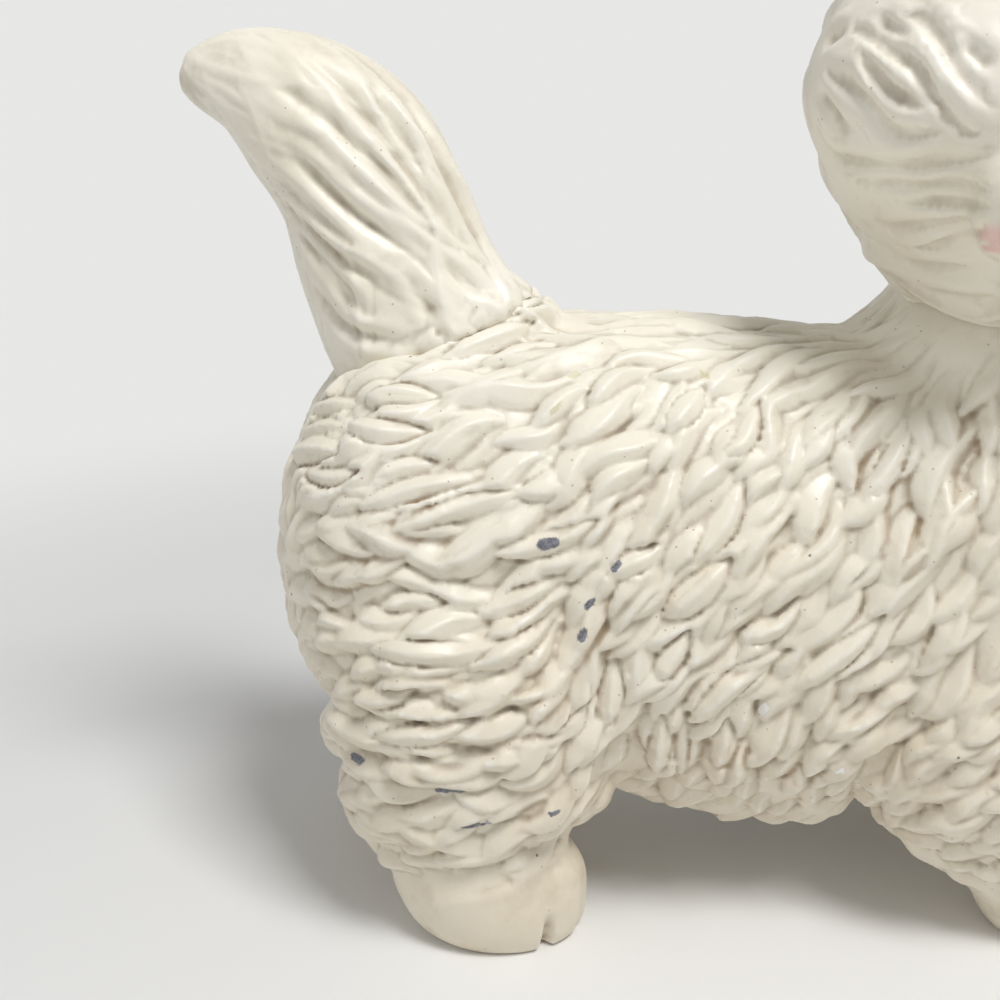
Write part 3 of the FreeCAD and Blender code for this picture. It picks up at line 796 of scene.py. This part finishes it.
def moved(geometry, **where):
    """The geometry with its points at a new Position, or moved by an Offset."""
    return wire(geometry.tree, "GeometryNodeSetPosition", {"Geometry": geometry, **where})


def parts_of(vector):
    """The X, Y and Z of a vector."""
    node = put(vector.tree, "ShaderNodeSeparateXYZ", {0: vector})
    return [Wire(vector.tree, node.outputs[axis]) for axis in "XYZ"]


def lock_roots(skin, spacing, seed):
    """The roots of the locks on the skin, each with its number, its stride and its girth."""
    tree = skin.tree
    ident = wire(tree, "GeometryNodeInputIndex")
    roots = wire(tree, "GeometryNodeDistributePointsOnFaces",
                 {"Mesh": skin, "Distance Min": spacing, "Seed": seed,
                  "Density Max": root_density / spacing.calc("POWER", 2.0),
                  "Density Factor": named(tree, "coat").calc("GREATER_THAN", least_coat)},
                 distribute_method="POISSON")
    roots = stored(roots, "lock", ident, "INT")
    strides = [reach / lock_steps for reach in lock_reach]
    roots = stored(roots, "stride", named(tree, "lock_length") * chance(ident, *strides, seed))
    return stored(roots, "girth", named(tree, "lock_width") * chance(ident, *lock_girth, seed))


def lock_strands(skin, roots, seed):
    """The roots' walk along the lie of the coat, as one smooth curve for each lock."""
    tree = skin.tree
    lock = named(tree, "lock", "INT")
    start = put(tree, "GeometryNodeRepeatInput", {"Iterations": lock_steps})
    stop = put(tree, "GeometryNodeRepeatOutput")
    start.pair_with_output(stop)
    stop.repeat_items.new("GEOMETRY", "Trail")
    fill(start, {"Geometry": roots, "Trail": stored(roots, "step", -1.0)})
    step, walkers, trail = (Wire(tree, start.outputs[name]) for name in ("Iteration", "Geometry", "Trail"))
    phase = chance(lock, 0.0, math.tau, seed + 11)
    wave = (step / float(lock_steps) * (math.tau * lock_wave_turns) + phase).calc("SINE")
    yaw = wave * lock_wave + chance(lock, -lock_stray, lock_stray, seed + 12)
    turned = wire(tree, "ShaderNodeVectorRotate",
                  {"Vector": from_skin(skin, "comb"), "Axis": from_skin(skin, "outward"), "Angle": yaw},
                  rotation_type="AXIS_ANGLE")
    ahead = here(tree) + turned * named(tree, "stride")
    landed = wire(tree, "GeometryNodeProximity", {"Target": skin, "Source Position": ahead}, "Position",
                  target_element="FACES")
    walkers = stored(moved(walkers, Position=landed), "step", step)
    join = put(tree, "GeometryNodeJoinGeometry")
    for part in (trail, walkers):
        fill(join, {0: part})
    fill(stop, {"Geometry": walkers, "Trail": Wire(tree, join.outputs[0])})
    strands = wire(tree, "GeometryNodePointsToCurves",
                   {"Points": Wire(tree, stop.outputs["Trail"]), "Curve Group ID": lock,
                    "Weight": named(tree, "step")})
    strands = wire(tree, "GeometryNodeCurveSplineType", {"Curve": strands}, spline_type="CATMULL_ROM")
    return wire(tree, "GeometryNodeResampleCurve", {"Curve": strands, "Count": strand_points},
                mode="COUNT")


def lock_bodies(skin, strands, relief, seed):
    """The locks' solid bodies, swept along their strands."""
    tree = skin.tree
    share = wire(tree, "GeometryNodeSplineParameter", output="Factor")
    outward = from_skin(skin, "outward")
    strands = moved(strands, Offset=outward * ((eased(share, LOCK_LIFT) - 0.5) * relief))
    strands = wire(tree, "GeometryNodeSetCurveNormal", {"Curve": strands, "Normal": outward}, mode="FREE")
    heel = chance(named(tree, "lock", "INT"), *lock_heel, seed + 13)
    strands = wire(tree, "GeometryNodeSetCurveTilt", {"Curve": strands, "Tilt": heel})
    circle = wire(tree, "GeometryNodeCurvePrimitiveCircle", {"Resolution": profile_points, "Radius": 1.0})
    across, up, _ = parts_of(here(tree))
    lobes = (across * lobes_per_lock).calc("COSINE")
    crown = up * up.calc("ABSOLUTE") * (lobes * groove_share + crown_share)
    section = wire(tree, "ShaderNodeCombineXYZ", {"X": crown - skirt_share, "Y": across})
    return wire(tree, "GeometryNodeCurveToMesh",
                {"Curve": strands, "Profile Curve": moved(circle, Position=section), "Fill Caps": True,
                 "Scale": named(tree, "girth") * eased(share, LOCK_FULLNESS)})


def draped(skin, locks, sink):
    """The skin drawn up over the locks and into its creases, with the depth of its hollows stored."""
    tree = skin.tree
    outward = named(tree, "outward", "FLOAT_VECTOR")
    coat = named(tree, "coat")
    ray = put(tree, "GeometryNodeRaycast",
              {"Target Geometry": locks, "Ray Length": ray_start * 1.2,
               "Source Position": here(tree) + outward * ray_start, "Ray Direction": outward * -1.0})
    away, hit = (Wire(tree, ray.outputs[name]) for name in ("Hit Distance", "Is Hit"))
    rise = ((ray_start - away) * hit).calc("MAXIMUM", lowest_rise)
    rise = rise * (coat * (1.0 - named(tree, "claimed")))
    rise = rise.calc("MAXIMUM", named(tree, "hand_rise")) + named(tree, "furrow")
    skin = stored(skin, "rise", rise)
    rise = named(tree, "rise")
    soft = blurred(rise, 2, 0.5)
    skin = stored(skin, "hollow", (blurred(rise, 4) - soft) / hollow_full)
    return moved(skin, Offset=outward * (soft - sink * coat))


def coat_tree(material):
    """Carves combed locks into a skin: seeded roots, a walk along the lie, then the drape."""
    tree = bpy.data.node_groups.new("combed_coat", "GeometryNodeTree")
    for name, kind in (("Geometry", "Geometry"), ("Spacing", "Float"), ("Relief", "Float"),
                       ("Sink", "Float"), ("Seed", "Int")):
        tree.interface.new_socket(name, in_out="INPUT", socket_type="NodeSocket" + kind)
    tree.interface.new_socket("Geometry", in_out="OUTPUT", socket_type="NodeSocketGeometry")
    given = put(tree, "NodeGroupInput").outputs
    skin, spacing, relief, sink, seed = (Wire(tree, given[k]) for k in range(5))
    normal = wire(tree, "GeometryNodeInputNormal", output="Normal")
    outward = blurred(normal, 4, data_type="FLOAT_VECTOR").calc("NORMALIZE")
    skin = stored(skin, "outward", outward, "FLOAT_VECTOR")
    strands = lock_strands(skin, lock_roots(skin, spacing, seed), seed)
    skin = draped(skin, lock_bodies(skin, strands, relief, seed), sink)
    skin = wire(tree, "GeometryNodeRealizeInstances", {"Geometry": skin})
    skin = wire(tree, "GeometryNodeSetMaterial", {"Geometry": skin, "Material": material})
    fill(put(tree, "NodeGroupOutput"), {0: skin})
    return tree


def carve(skin, tree, carving):
    """Carves the coat into the skin."""
    carver = add_modifier(skin, "NODES", node_group=tree)
    for socket in tree.interface.items_tree:
        if socket.in_out == "INPUT" and socket.name in carving:
            carver[socket.identifier] = carving[socket.name]
    settled(skin)


def thin(skin, share):
    """Takes away faces where the carved skin is plainest, down to a share of them."""
    add_modifier(skin, "DECIMATE", ratio=share, use_collapse_triangulate=True)
    settled(skin)


def toe_clefts(places, hunt):
    """The clefts between the toes of the four paws, as paths on the skin."""
    paths = []
    for fore in (-1, 1):
        for side in (-1, 1):
            beside = (places[:, 0] * fore > 0) & ((places[:, 1] - seam_y) * side > 0)
            foot = places[(places[:, 2] < toe_height) & beside]
            low, high = foot.min(axis=0), foot.max(axis=0)
            half = (high[1] - low[1]) / 2
            centre = np.array((high[0] - half, (low[1] + high[1]) / 2))
            for angle in toe_angles:
                run = np.array((math.cos(angle), math.sin(angle))) * half
                marks = [(*(centre + run * 0.5), 0), (*(centre + run * 0.8), 0)]
                marks += [(*(centre + run), height) for height in np.linspace(1 * MM, toe_height, 8)]
                paths.append(np.array([tuple(hunt.find_nearest(Vector(mark))[0]) for mark in marks]))
    return paths


def guide_coat(skin, locks, creases, crease_cut, both_sides, pawed=False):
    """Stores the height of the listed locks and creases, and where they leave no seeded lock."""
    places = points_of(skin)
    hunt = hunter(skin)
    drawn = [(on_skin(hunt, points), width * picture_to_flank * drawn_width_share)
             for *points, width in locks]
    drawn = [(path, width) for path, width in drawn if path is not None]
    paths = [on_skin(hunt, points, crease_points) for points in creases]
    paths = [path for path in paths if path is not None]
    if both_sides:
        drawn += [(over_seam(path), width) for path, width in drawn]
        paths += [over_seam(path) for path in paths]
    rise = hand_locks(places, drawn)
    cut = furrows(places, paths, *crease_cut)
    if pawed:
        cut = np.minimum(cut, furrows(places, toe_clefts(places, hunt), *TOE_CLEFT_CUT))
    keep(skin, claimed=eased_step(rise, *CLAIM_FADE), hand_rise=rise, furrow=cut)


# Marks left on the glaze
def spotted(places, hunt, marks):
    """How strongly each place carries marks drawn over the photograph, from 0 to 1."""
    share = np.zeros(len(places))
    for *line, half_width in marks:
        path = on_skin(hunt, line, mark_points)
        if path is None:
            continue
        width = half_width * picture_to_flank
        near = near_box(places, path, 3 * width)
        away = nearest_on(places[near], path)[0]
        share[near] = np.maximum(share[near], 1 - eased_step(away, 0.4 * width, 1.5 * width))
    return share


def paint_body(skin):
    """Where the body's scuffs, chips, stains and dirt lie."""
    places = points_of(skin)
    hunt = hunter(skin)
    keep(skin, scuff=spotted(places, hunt, SCUFFS), chip=spotted(places, hunt, CHIPS),
         stain=spotted(places, hunt, STAINS), dirt=spotted(places, hunt, DIRT))


def within(places, centre, axes, radii, inner=0.92, outer=1.12):
    """1 inside a stretched ball, 0 well outside it."""
    spread = sum((((places - centre) @ axis) / (radius * MM)) ** 2 for axis, radius in zip(axes, radii))
    return 1 - eased_step(np.sqrt(spread), inner, outer)


def paint_head(skin):
    """Where the nose, lips and blushes of the head lie."""
    places = points_of(skin)
    lip = np.zeros(len(places))
    for path in (face_path(LIP, -1), face_path(LIP), face_path(PHILTRUM[::2])):
        lip = np.maximum(lip, 1 - eased_step(nearest_on(places, path)[0], *LIP_FADE))
    blush = spotted(places, hunter(skin), BLUSHES)
    for side in (-1, 1):
        lean = ear_lean * side
        rise = head_up * math.cos(lean) + head_aside * math.sin(lean)
        across = head_aside * math.cos(lean) - head_up * math.sin(lean)
        ear = head_spot(*ear_foot, side) + rise * ear_rise
        blush = np.maximum(blush, within(places, ear, (head_forward, across, rise), EAR_SIZES, 0.7, 1.15))
        cheek = within(places, head_spot(*cheek_spot, side), HEAD_AXES, CHEEK_SIZES, 0.25, 1.25)
        blush = np.maximum(blush, cheek_blush * cheek)
    keep(skin, nose=within(places, head_spot(*nose_middle), HEAD_AXES, NOSE_SIZES), lip=lip, blush=blush)


# Materials
def mixed(share, under, over):
    """One colour laid over another by a share."""
    return wire(share.tree, "ShaderNodeMix", {0: share, 6: under, 7: over}, 2,
                data_type="RGBA", clamp_factor=True)


def ranged(value, low, high, start=0.0, end=1.0):
    """The value brought from one range into another, and held inside it."""
    return wire(value.tree, "ShaderNodeMapRange", {0: value, 1: low, 2: high, 3: start, 4: end})


def cloud(place, scale, detail=3.0, rough=0.5):
    """Soft noise over the piece."""
    return wire(place.tree, "ShaderNodeTexNoise",
                {"Vector": place, "Scale": scale, "Detail": detail, "Roughness": rough})


def waves(place, scale, distortion, detail=2.0):
    """Wavy bands over the piece."""
    return wire(place.tree, "ShaderNodeTexWave",
                {"Vector": place, "Scale": scale, "Distortion": distortion, "Detail": detail}, "Fac")


def painted(place, name):
    """A mark's share, read from the piece."""
    return wire(place.tree, "ShaderNodeAttribute", output="Fac", attribute_name=name)


def dabbed(share, noise, bite):
    """The share with a broken edge."""
    return ranged(share + (noise - 0.5) * (1.6 * bite), 0.3, 0.62)


def new_finish(name):
    """A material, its shader and the piece's own coordinates."""
    made = bpy.data.materials.new(name)
    made.use_nodes = True
    place = wire(made.node_tree, "ShaderNodeTexCoord", output="Object")
    return made, made.node_tree.nodes["Principled BSDF"], place


def bump(height, depth, strength):
    """A rough surface, from a height."""
    return wire(height.tree, "ShaderNodeBump", {"Height": height, "Distance": depth, "Strength": strength})


def specks(place, scale, size, rarity):
    """Small scattered dots: their share at each place."""
    tree = place.tree
    dots = put(tree, "ShaderNodeTexVoronoi", {"Vector": place, "Scale": scale, "Randomness": 1.0}).outputs
    near = ranged(Wire(tree, dots["Distance"]), size * 0.7, size, 1.0, 0.0)
    draw = wire(tree, "ShaderNodeSeparateColor", {0: Wire(tree, dots["Color"])})
    return near * draw.calc("GREATER_THAN", rarity)


def cream_glaze():
    """Cream satin glaze: tan wash and painted shade in its hollows, painted shade and grime low down, a
    painted highlight on its ridges, and an old piece's marks.
    """
    made, shader, place = new_finish("cream_glaze")
    broad = cloud(place, 26.0)
    patchy = cloud(place, 85.0, 4.0, 0.6)
    fine = cloud(place, 420.0, 3.0, 0.6)
    torn = cloud(place, 900.0, 4.0, 0.7)
    hollow = painted(place, "hollow")
    # Painted shade mixed with grime: the cream turns darker and browner towards the bottom of the piece.
    low = ranged(parts_of(place)[2], 0.04, 0.145, 0.62, 0.0) * ranged(patchy, 0.3, 0.7, 0.5, 1.0)
    # Painted highlight: paler cream on the crests of the locks, broken by fine noise.
    crest_highlight = ranged(hollow, -0.08, -0.45) * ranged(fine, 0.4, 0.65, 0.2, 0.8)
    # Tan wash and painted shade in the creases: brown laid where the skin is hollow, broken by noise.
    wash_and_shade_depth = hollow + ranged(patchy, 0.3, 0.7, -0.1, 0.12)
    crease_wash_and_shade = ranged(wash_and_shade_depth, 0.02, 0.55) * ranged(broad, 0.3, 0.7, 0.68, 0.98)
    stain, dirt, lip = (dabbed(painted(place, name), patchy, 0.3) for name in ("stain", "dirt", "lip"))
    nose = dabbed(painted(place, "nose"), fine, 0.3)
    blush = painted(place, "blush") * ranged(patchy, 0.25, 0.7, 0.55, 1.0)
    scuff = dabbed(painted(place, "scuff"), torn, 0.6)
    slate = mixed(ranged(torn, 0.4, 0.6), (0.05, 0.055, 0.085, 1), (0.20, 0.21, 0.26, 1))
    chip = dabbed(painted(place, "chip"), torn, 0.5)
    colour = mixed(ranged(broad, 0.35, 0.65), (0.84, 0.785, 0.655, 1), (0.895, 0.855, 0.75, 1))
    for share, paint in ((ranged(patchy, 0.52, 0.75, 0.0, 0.35), (0.75, 0.69, 0.57, 1)),
                         # painted shade and grime low down
                         (low, (0.66, 0.56, 0.41, 1)),
                         # painted highlight on the crests
                         (crest_highlight, (0.92, 0.895, 0.82, 1)),
                         # tan wash and painted shade in the hollows
                         (crease_wash_and_shade, (0.34, 0.27, 0.185, 1)),
                         # Painted shade: near-black brown in the deepest creases.
                         (ranged(hollow, 0.4, 0.9, 0.0, 0.85), (0.12, 0.095, 0.07, 1)),
                         (stain * 0.55, (0.58, 0.55, 0.31, 1)),
                         (dirt * ranged(hollow, -0.1, 0.35, 0.05, 1.0) * 0.6, (0.30, 0.205, 0.11, 1)),
                         (blush * 0.6, (0.80, 0.36, 0.37, 1)),
                         (lip * 0.85, (0.33, 0.15, 0.12, 1)),
                         (nose * 0.95, (0.055, 0.045, 0.045, 1)),
                         (scuff * 0.92, slate),
                         (chip, (0.92, 0.91, 0.88, 1)),
                         (specks(place, 170.0, 0.075, 0.94) * 0.8, (0.16, 0.115, 0.075, 1)),
                         (specks(place, 520.0, 0.17, 0.9) * 0.5, (0.30, 0.22, 0.14, 1))):
        colour = mixed(share, colour, paint)
    dull = ranged(patchy, 0.3, 0.7, 0.34, 0.5) + ranged(hollow, 0.1, 0.7, 0.0, 0.22) + chip * 0.35
    fill(shader, {"Base Color": colour, "Roughness": dull,
                  "Normal": bump(fine * 0.5 + patchy - chip * 1.2, 0.35 * MM, 0.45)})
    return made


def glass_eye(side_name, side):
    """Brown glass eye with its pupil, looking the way that the eye does."""
    made, shader, place = new_finish(side_name + "_eye_glass")
    seat, gaze = eye_seat(side)
    out = (place - tuple(seat - gaze * eye_setback)).calc("NORMALIZE")
    facing = wire(place.tree, "ShaderNodeVectorMath", {0: out, 1: tuple(gaze)}, "Value",
                  operation="DOT_PRODUCT")
    iris = mixed(cloud(out * 9.0, 3.0, 4.0, 0.7), (0.10, 0.035, 0.010, 1), (0.34, 0.15, 0.04, 1))
    colour = mixed(ranged(facing, 0.80, 0.76), iris, (0.018, 0.012, 0.010, 1))
    colour = mixed(ranged(facing, 0.900, 0.915), colour, (0.006, 0.006, 0.007, 1))
    fill(shader, {"Base Color": colour, "Roughness": 0.05, "Coat Weight": 0.6, "Coat Roughness": 0.03})
    return made


def bare_plaster():
    """Plain plaster of the plug: off-white and chalky, with trowel marks."""
    made, shader, place = new_finish("bare_plaster")
    cloudy = cloud(place, 120.0, 5.0, 0.65)
    colour = mixed(cloudy, (0.62, 0.56, 0.46, 1), (0.80, 0.77, 0.70, 1))
    colour = mixed(specks(place, 420.0, 0.2, 0.8) * 0.7, colour, (0.22, 0.18, 0.13, 1))
    drag = waves(place, 300.0, 7.0, 3.0)
    fill(shader, {"Base Color": colour, "Roughness": 0.85,
                  "Normal": bump(cloudy + drag * 0.4, 0.6 * MM, 0.6)})
    return made


def drawn_wire():
    """Drawn steel wire with a little rust."""
    made, shader, place = new_finish("drawn_wire")
    streaks = cloud(place.calc("MULTIPLY", (1.0, 1.0, 0.1)), 900.0)
    rust = ranged(cloud(place, 160.0, 5.0, 0.7), 0.55, 0.7)
    colour = mixed(streaks, (0.30, 0.29, 0.28, 1), (0.52, 0.51, 0.49, 1))
    fill(shader, {"Base Color": mixed(rust, colour, (0.22, 0.09, 0.035, 1)),
                  "Metallic": ranged(rust, 0.0, 1.0, 1.0, 0.0),
                  "Roughness": ranged(rust, 0.0, 1.0, 0.38, 0.9), "Normal": bump(streaks, 0.1 * MM, 0.4)})
    return made


def turned_wood():
    """Pale birch dowel with its grain running up it."""
    made, shader, place = new_finish("turned_wood")
    long_way = place.calc("MULTIPLY", (1.0, 1.0, 0.06))
    grain = cloud(long_way, 700.0, 4.0, 0.6)
    rings = ranged(waves(long_way, 160.0, 4.0), 0.7, 1.0, 0.0, 0.5)
    colour = mixed(grain, (0.50, 0.34, 0.19, 1), (0.72, 0.56, 0.37, 1))
    fill(shader, {"Base Color": mixed(rings, colour, (0.38, 0.24, 0.12, 1)), "Roughness": 0.62,
                  "Normal": bump(grain, 0.15 * MM, 0.5)})
    return made


def dress(node, material):
    """Gives a CAD node its finish."""
    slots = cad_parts[node].material_slots
    for slot in slots:
        slot.material = material
    if not slots:
        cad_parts[node].data.materials.append(material)


# The skins parted where the castings meet
def sunk_plug(skin):
    """Opens the skin over the belly's plug, and lays the soles on the floor."""
    low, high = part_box("belly_plug")
    places = points_of(skin)
    middle = np.array(((low.x + high.x) / 2, (low.y + high.y) / 2))
    away = np.linalg.norm(places[:, :2] - middle, axis=1) - (high.x - low.x) / 2
    share = 1 - eased_step(away, *PLUG_EDGE)
    height = places[:, 2]
    opened = height * (1 - share) + np.maximum(height, low.z + plug_sink) * share
    places[:, 2] = np.maximum(np.where(height < high.z, opened, height), 0.0)
    move_points(skin, places)


def past_belly(place):
    """Whether a place on the body lies past the belly's low part, where the legs are."""
    if place.x > front_legs_start_x:
        return place.x > low_belly_end_x or abs(place.y - seam_y) > low_belly_half_width
    return place.x < hind_legs_end_x


def is_leg(place):
    """Whether a place on the body belongs to a leg's own casting."""
    return place.z < leg_joint_z and past_belly(place)


def piece_at(place):
    """The name of the casting that a place on the body belongs to."""
    side = "right" if place.y < seam_y else "left"
    if not is_leg(place):
        return side + "_coat"
    return side + ("_hind_paw" if place.x < 0 else "_front_paw")


def parted(skin):
    """The body's skin cut at the mould seam and the leg joints into closed pieces, by name."""
    whole = bmesh.new()
    whole.from_mesh(skin.data)
    bmesh.ops.bisect_plane(whole, geom=whole.verts[:] + whole.edges[:] + whole.faces[:], dist=weld_reach,
                           plane_co=(0, seam_y, 0), plane_no=(0, 1, 0))
    faces = []
    for face in whole.faces:
        middle = face.calc_center_median()
        if past_belly(middle) and abs(middle.z - leg_joint_z) < leg_joint_reach:
            faces.append(face)
    edges = {edge for face in faces for edge in face.edges}
    verts = {vert for face in faces for vert in face.verts}
    bmesh.ops.bisect_plane(whole, geom=list(verts) + list(edges) + faces, dist=weld_reach,
                           plane_co=(0, 0, leg_joint_z), plane_no=(0, 0, 1))
    owners = [piece_at(face.calc_center_median()) for face in whole.faces]
    made = {}
    for name in sorted(set(owners)):
        part = whole.copy()
        part.faces.ensure_lookup_table()
        others = [face for face, owner in zip(part.faces, owners) if owner != name]
        bmesh.ops.delete(part, geom=others, context="FACES")
        rim = [edge for edge in part.edges if edge.is_boundary]
        for edge in rim:
            edge.smooth = False
        bmesh.ops.holes_fill(part, edges=rim, sides=0)
        bmesh.ops.recalc_face_normals(part, faces=part.faces[:])
        open_edges = sum(1 for edge in part.edges if len(edge.link_faces) != 2)
        print("piece", name, "faces", len(part.faces), "open edges", open_edges)
        made[name] = object_of(name, part)
    whole.free()
    bpy.data.objects.remove(skin)
    return made


def finished(piece, slot_name, *nodes):
    """Smooth shading, its body and the CAD nodes that it stands for; the slot name is not used."""
    for face in piece.data.polygons:
        face.use_smooth = True
    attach(piece, "root")
    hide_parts(*nodes)


glaze = cream_glaze()
coat = coat_tree(glaze)

body = cast_skin("body_skin", BODY_NODES, body_grain)
comb_body(body)
guide_coat(body, PLAIN_LOCKS, FLANK_CREASES, FLANK_CREASE_CUT, True, True)
carve(body, coat, BODY_CARVING)
thin(body, body_share_kept)
paint_body(body)
sunk_plug(body)
for name, piece in parted(body).items():
    side, _, part = name.partition("_")
    casting = {"coat": "body_shell", "hind_paw": "hind_leg", "front_paw": "front_leg"}[part]
    if not piece.data.materials:
        piece.data.materials.append(glaze)
    finished(piece, "plaster_glaze", side + "_" + casting)

tail = cast_skin("tail_skin", ("tail_casting",), tail_grain)
comb_tail(tail)
guide_coat(tail, (), TAIL_CREASES, TAIL_CREASE_CUT, True)
carve(tail, coat, TAIL_CARVING)
finished(tail, "plaster_glaze", "tail_casting")

head = cast_skin("head_skin", ("head_shell",), head_grain, face_forms)
sculpt_face(head)
comb_head(head)
guide_coat(head, (), HEAD_FOLDS, HEAD_FOLD_CUT, False)
carve(head, coat, HEAD_CARVING)
thin(head, head_share_kept)
paint_head(head)
finished(head, "plaster_glaze", "head_shell")

dress("right_eye", glass_eye("right", -1))
dress("left_eye", glass_eye("left", 1))
dress("belly_plug", bare_plaster())
steel = drawn_wire()
for node in ("right_hind_wire", "left_hind_wire", "right_front_wire", "left_front_wire", "tail_wire"):
    dress(node, steel)
dress("neck_dowel", turned_wood())


# Floor, lights and camera
def seen_ray(tree):
    """1 for a ray that looks at the scene, straight or by way of gloss or glass, and 0 for the rest."""
    ray = put(tree, "ShaderNodeLightPath").outputs
    straight, gloss, glass = (Wire(tree, ray[f"Is {kind} Ray"])
                              for kind in ("Camera", "Glossy", "Transmission"))
    return straight.calc("MAXIMUM", gloss.calc("MAXIMUM", glass))


def shown_instead(tree, share, light, shown, output):
    """Shows one surface or background in place of another, by a share."""
    lit = Wire(tree, light.outputs[0])
    fill(tree.nodes[output], {"Surface": wire(tree, "ShaderNodeMixShader", {0: share, 1: lit, 2: shown})})


def pale_ground():
    """Pale floor that keeps the shadow, and far from the dog turns into the pale backdrop."""
    made, shader, place = new_finish("pale_ground")
    tree = place.tree
    fill(shader, {"Base Color": floor_colour, "Roughness": 0.7})
    glow = wire(tree, "ShaderNodeEmission", {"Color": backdrop_colour, "Strength": 1.0})
    across, along = (part.calc("ABSOLUTE").calc("POWER", 2.0) for part in parts_of(place)[:2])
    share = wire(tree, "ShaderNodeMapRange",
                 {0: (across + along).calc("SQRT"), 1: floor_fade_start, 2: floor_fade_end},
                 interpolation_type="SMOOTHSTEP")
    shown_instead(tree, share * seen_ray(tree), shader, glow, "Material Output")
    return made


def stage_floor():
    """A wide floor under the feet."""
    sheet = bmesh.new()
    bmesh.ops.create_grid(sheet, x_segments=1, y_segments=1, size=floor_size)
    floor = object_of("floor", sheet)
    floor.data.materials.append(pale_ground())


def stage_world():
    """Even pale light, seen as the pale backdrop."""
    world = bpy.data.worlds.new("world")
    bpy.context.scene.world = world
    world.use_nodes = True
    tree = world.node_tree
    light = tree.nodes["Background"]
    fill(light, {0: (1, 1, 1, 1), 1: world_strength})
    shown = wire(tree, "ShaderNodeBackground", {"Color": backdrop_colour, "Strength": 1.0})
    shown_instead(tree, seen_ray(tree), light, shown, "World Output")


def area_lamp(name, place, size, power):
    """A square lamp that shines at the dog."""
    lamp = bpy.data.lights.new(name, "AREA")
    lamp.shape = "SQUARE"
    lamp.size = size
    lamp.energy = power
    made = new_object(name, lamp)
    made.location = place
    made.rotation_euler = (Vector(lamp_aim) - Vector(place)).to_track_quat("-Z", "Y").to_euler()


def camera():
    """The photograph's camera."""
    lens = bpy.data.cameras.new("camera")
    lens.lens = lens_mm
    lens.sensor_width = sensor_mm
    lens.clip_start = 0.01
    made = new_object("camera", lens)
    made.location = camera_place
    made.rotation_euler = camera_ahead.to_track_quat("-Z", "Y").to_euler()
    bpy.context.scene.camera = made


stage_floor()
stage_world()
for lamp in LAMPS:
    area_lamp(*lamp)
camera()
bpy.context.scene.view_settings.view_transform = "Standard"
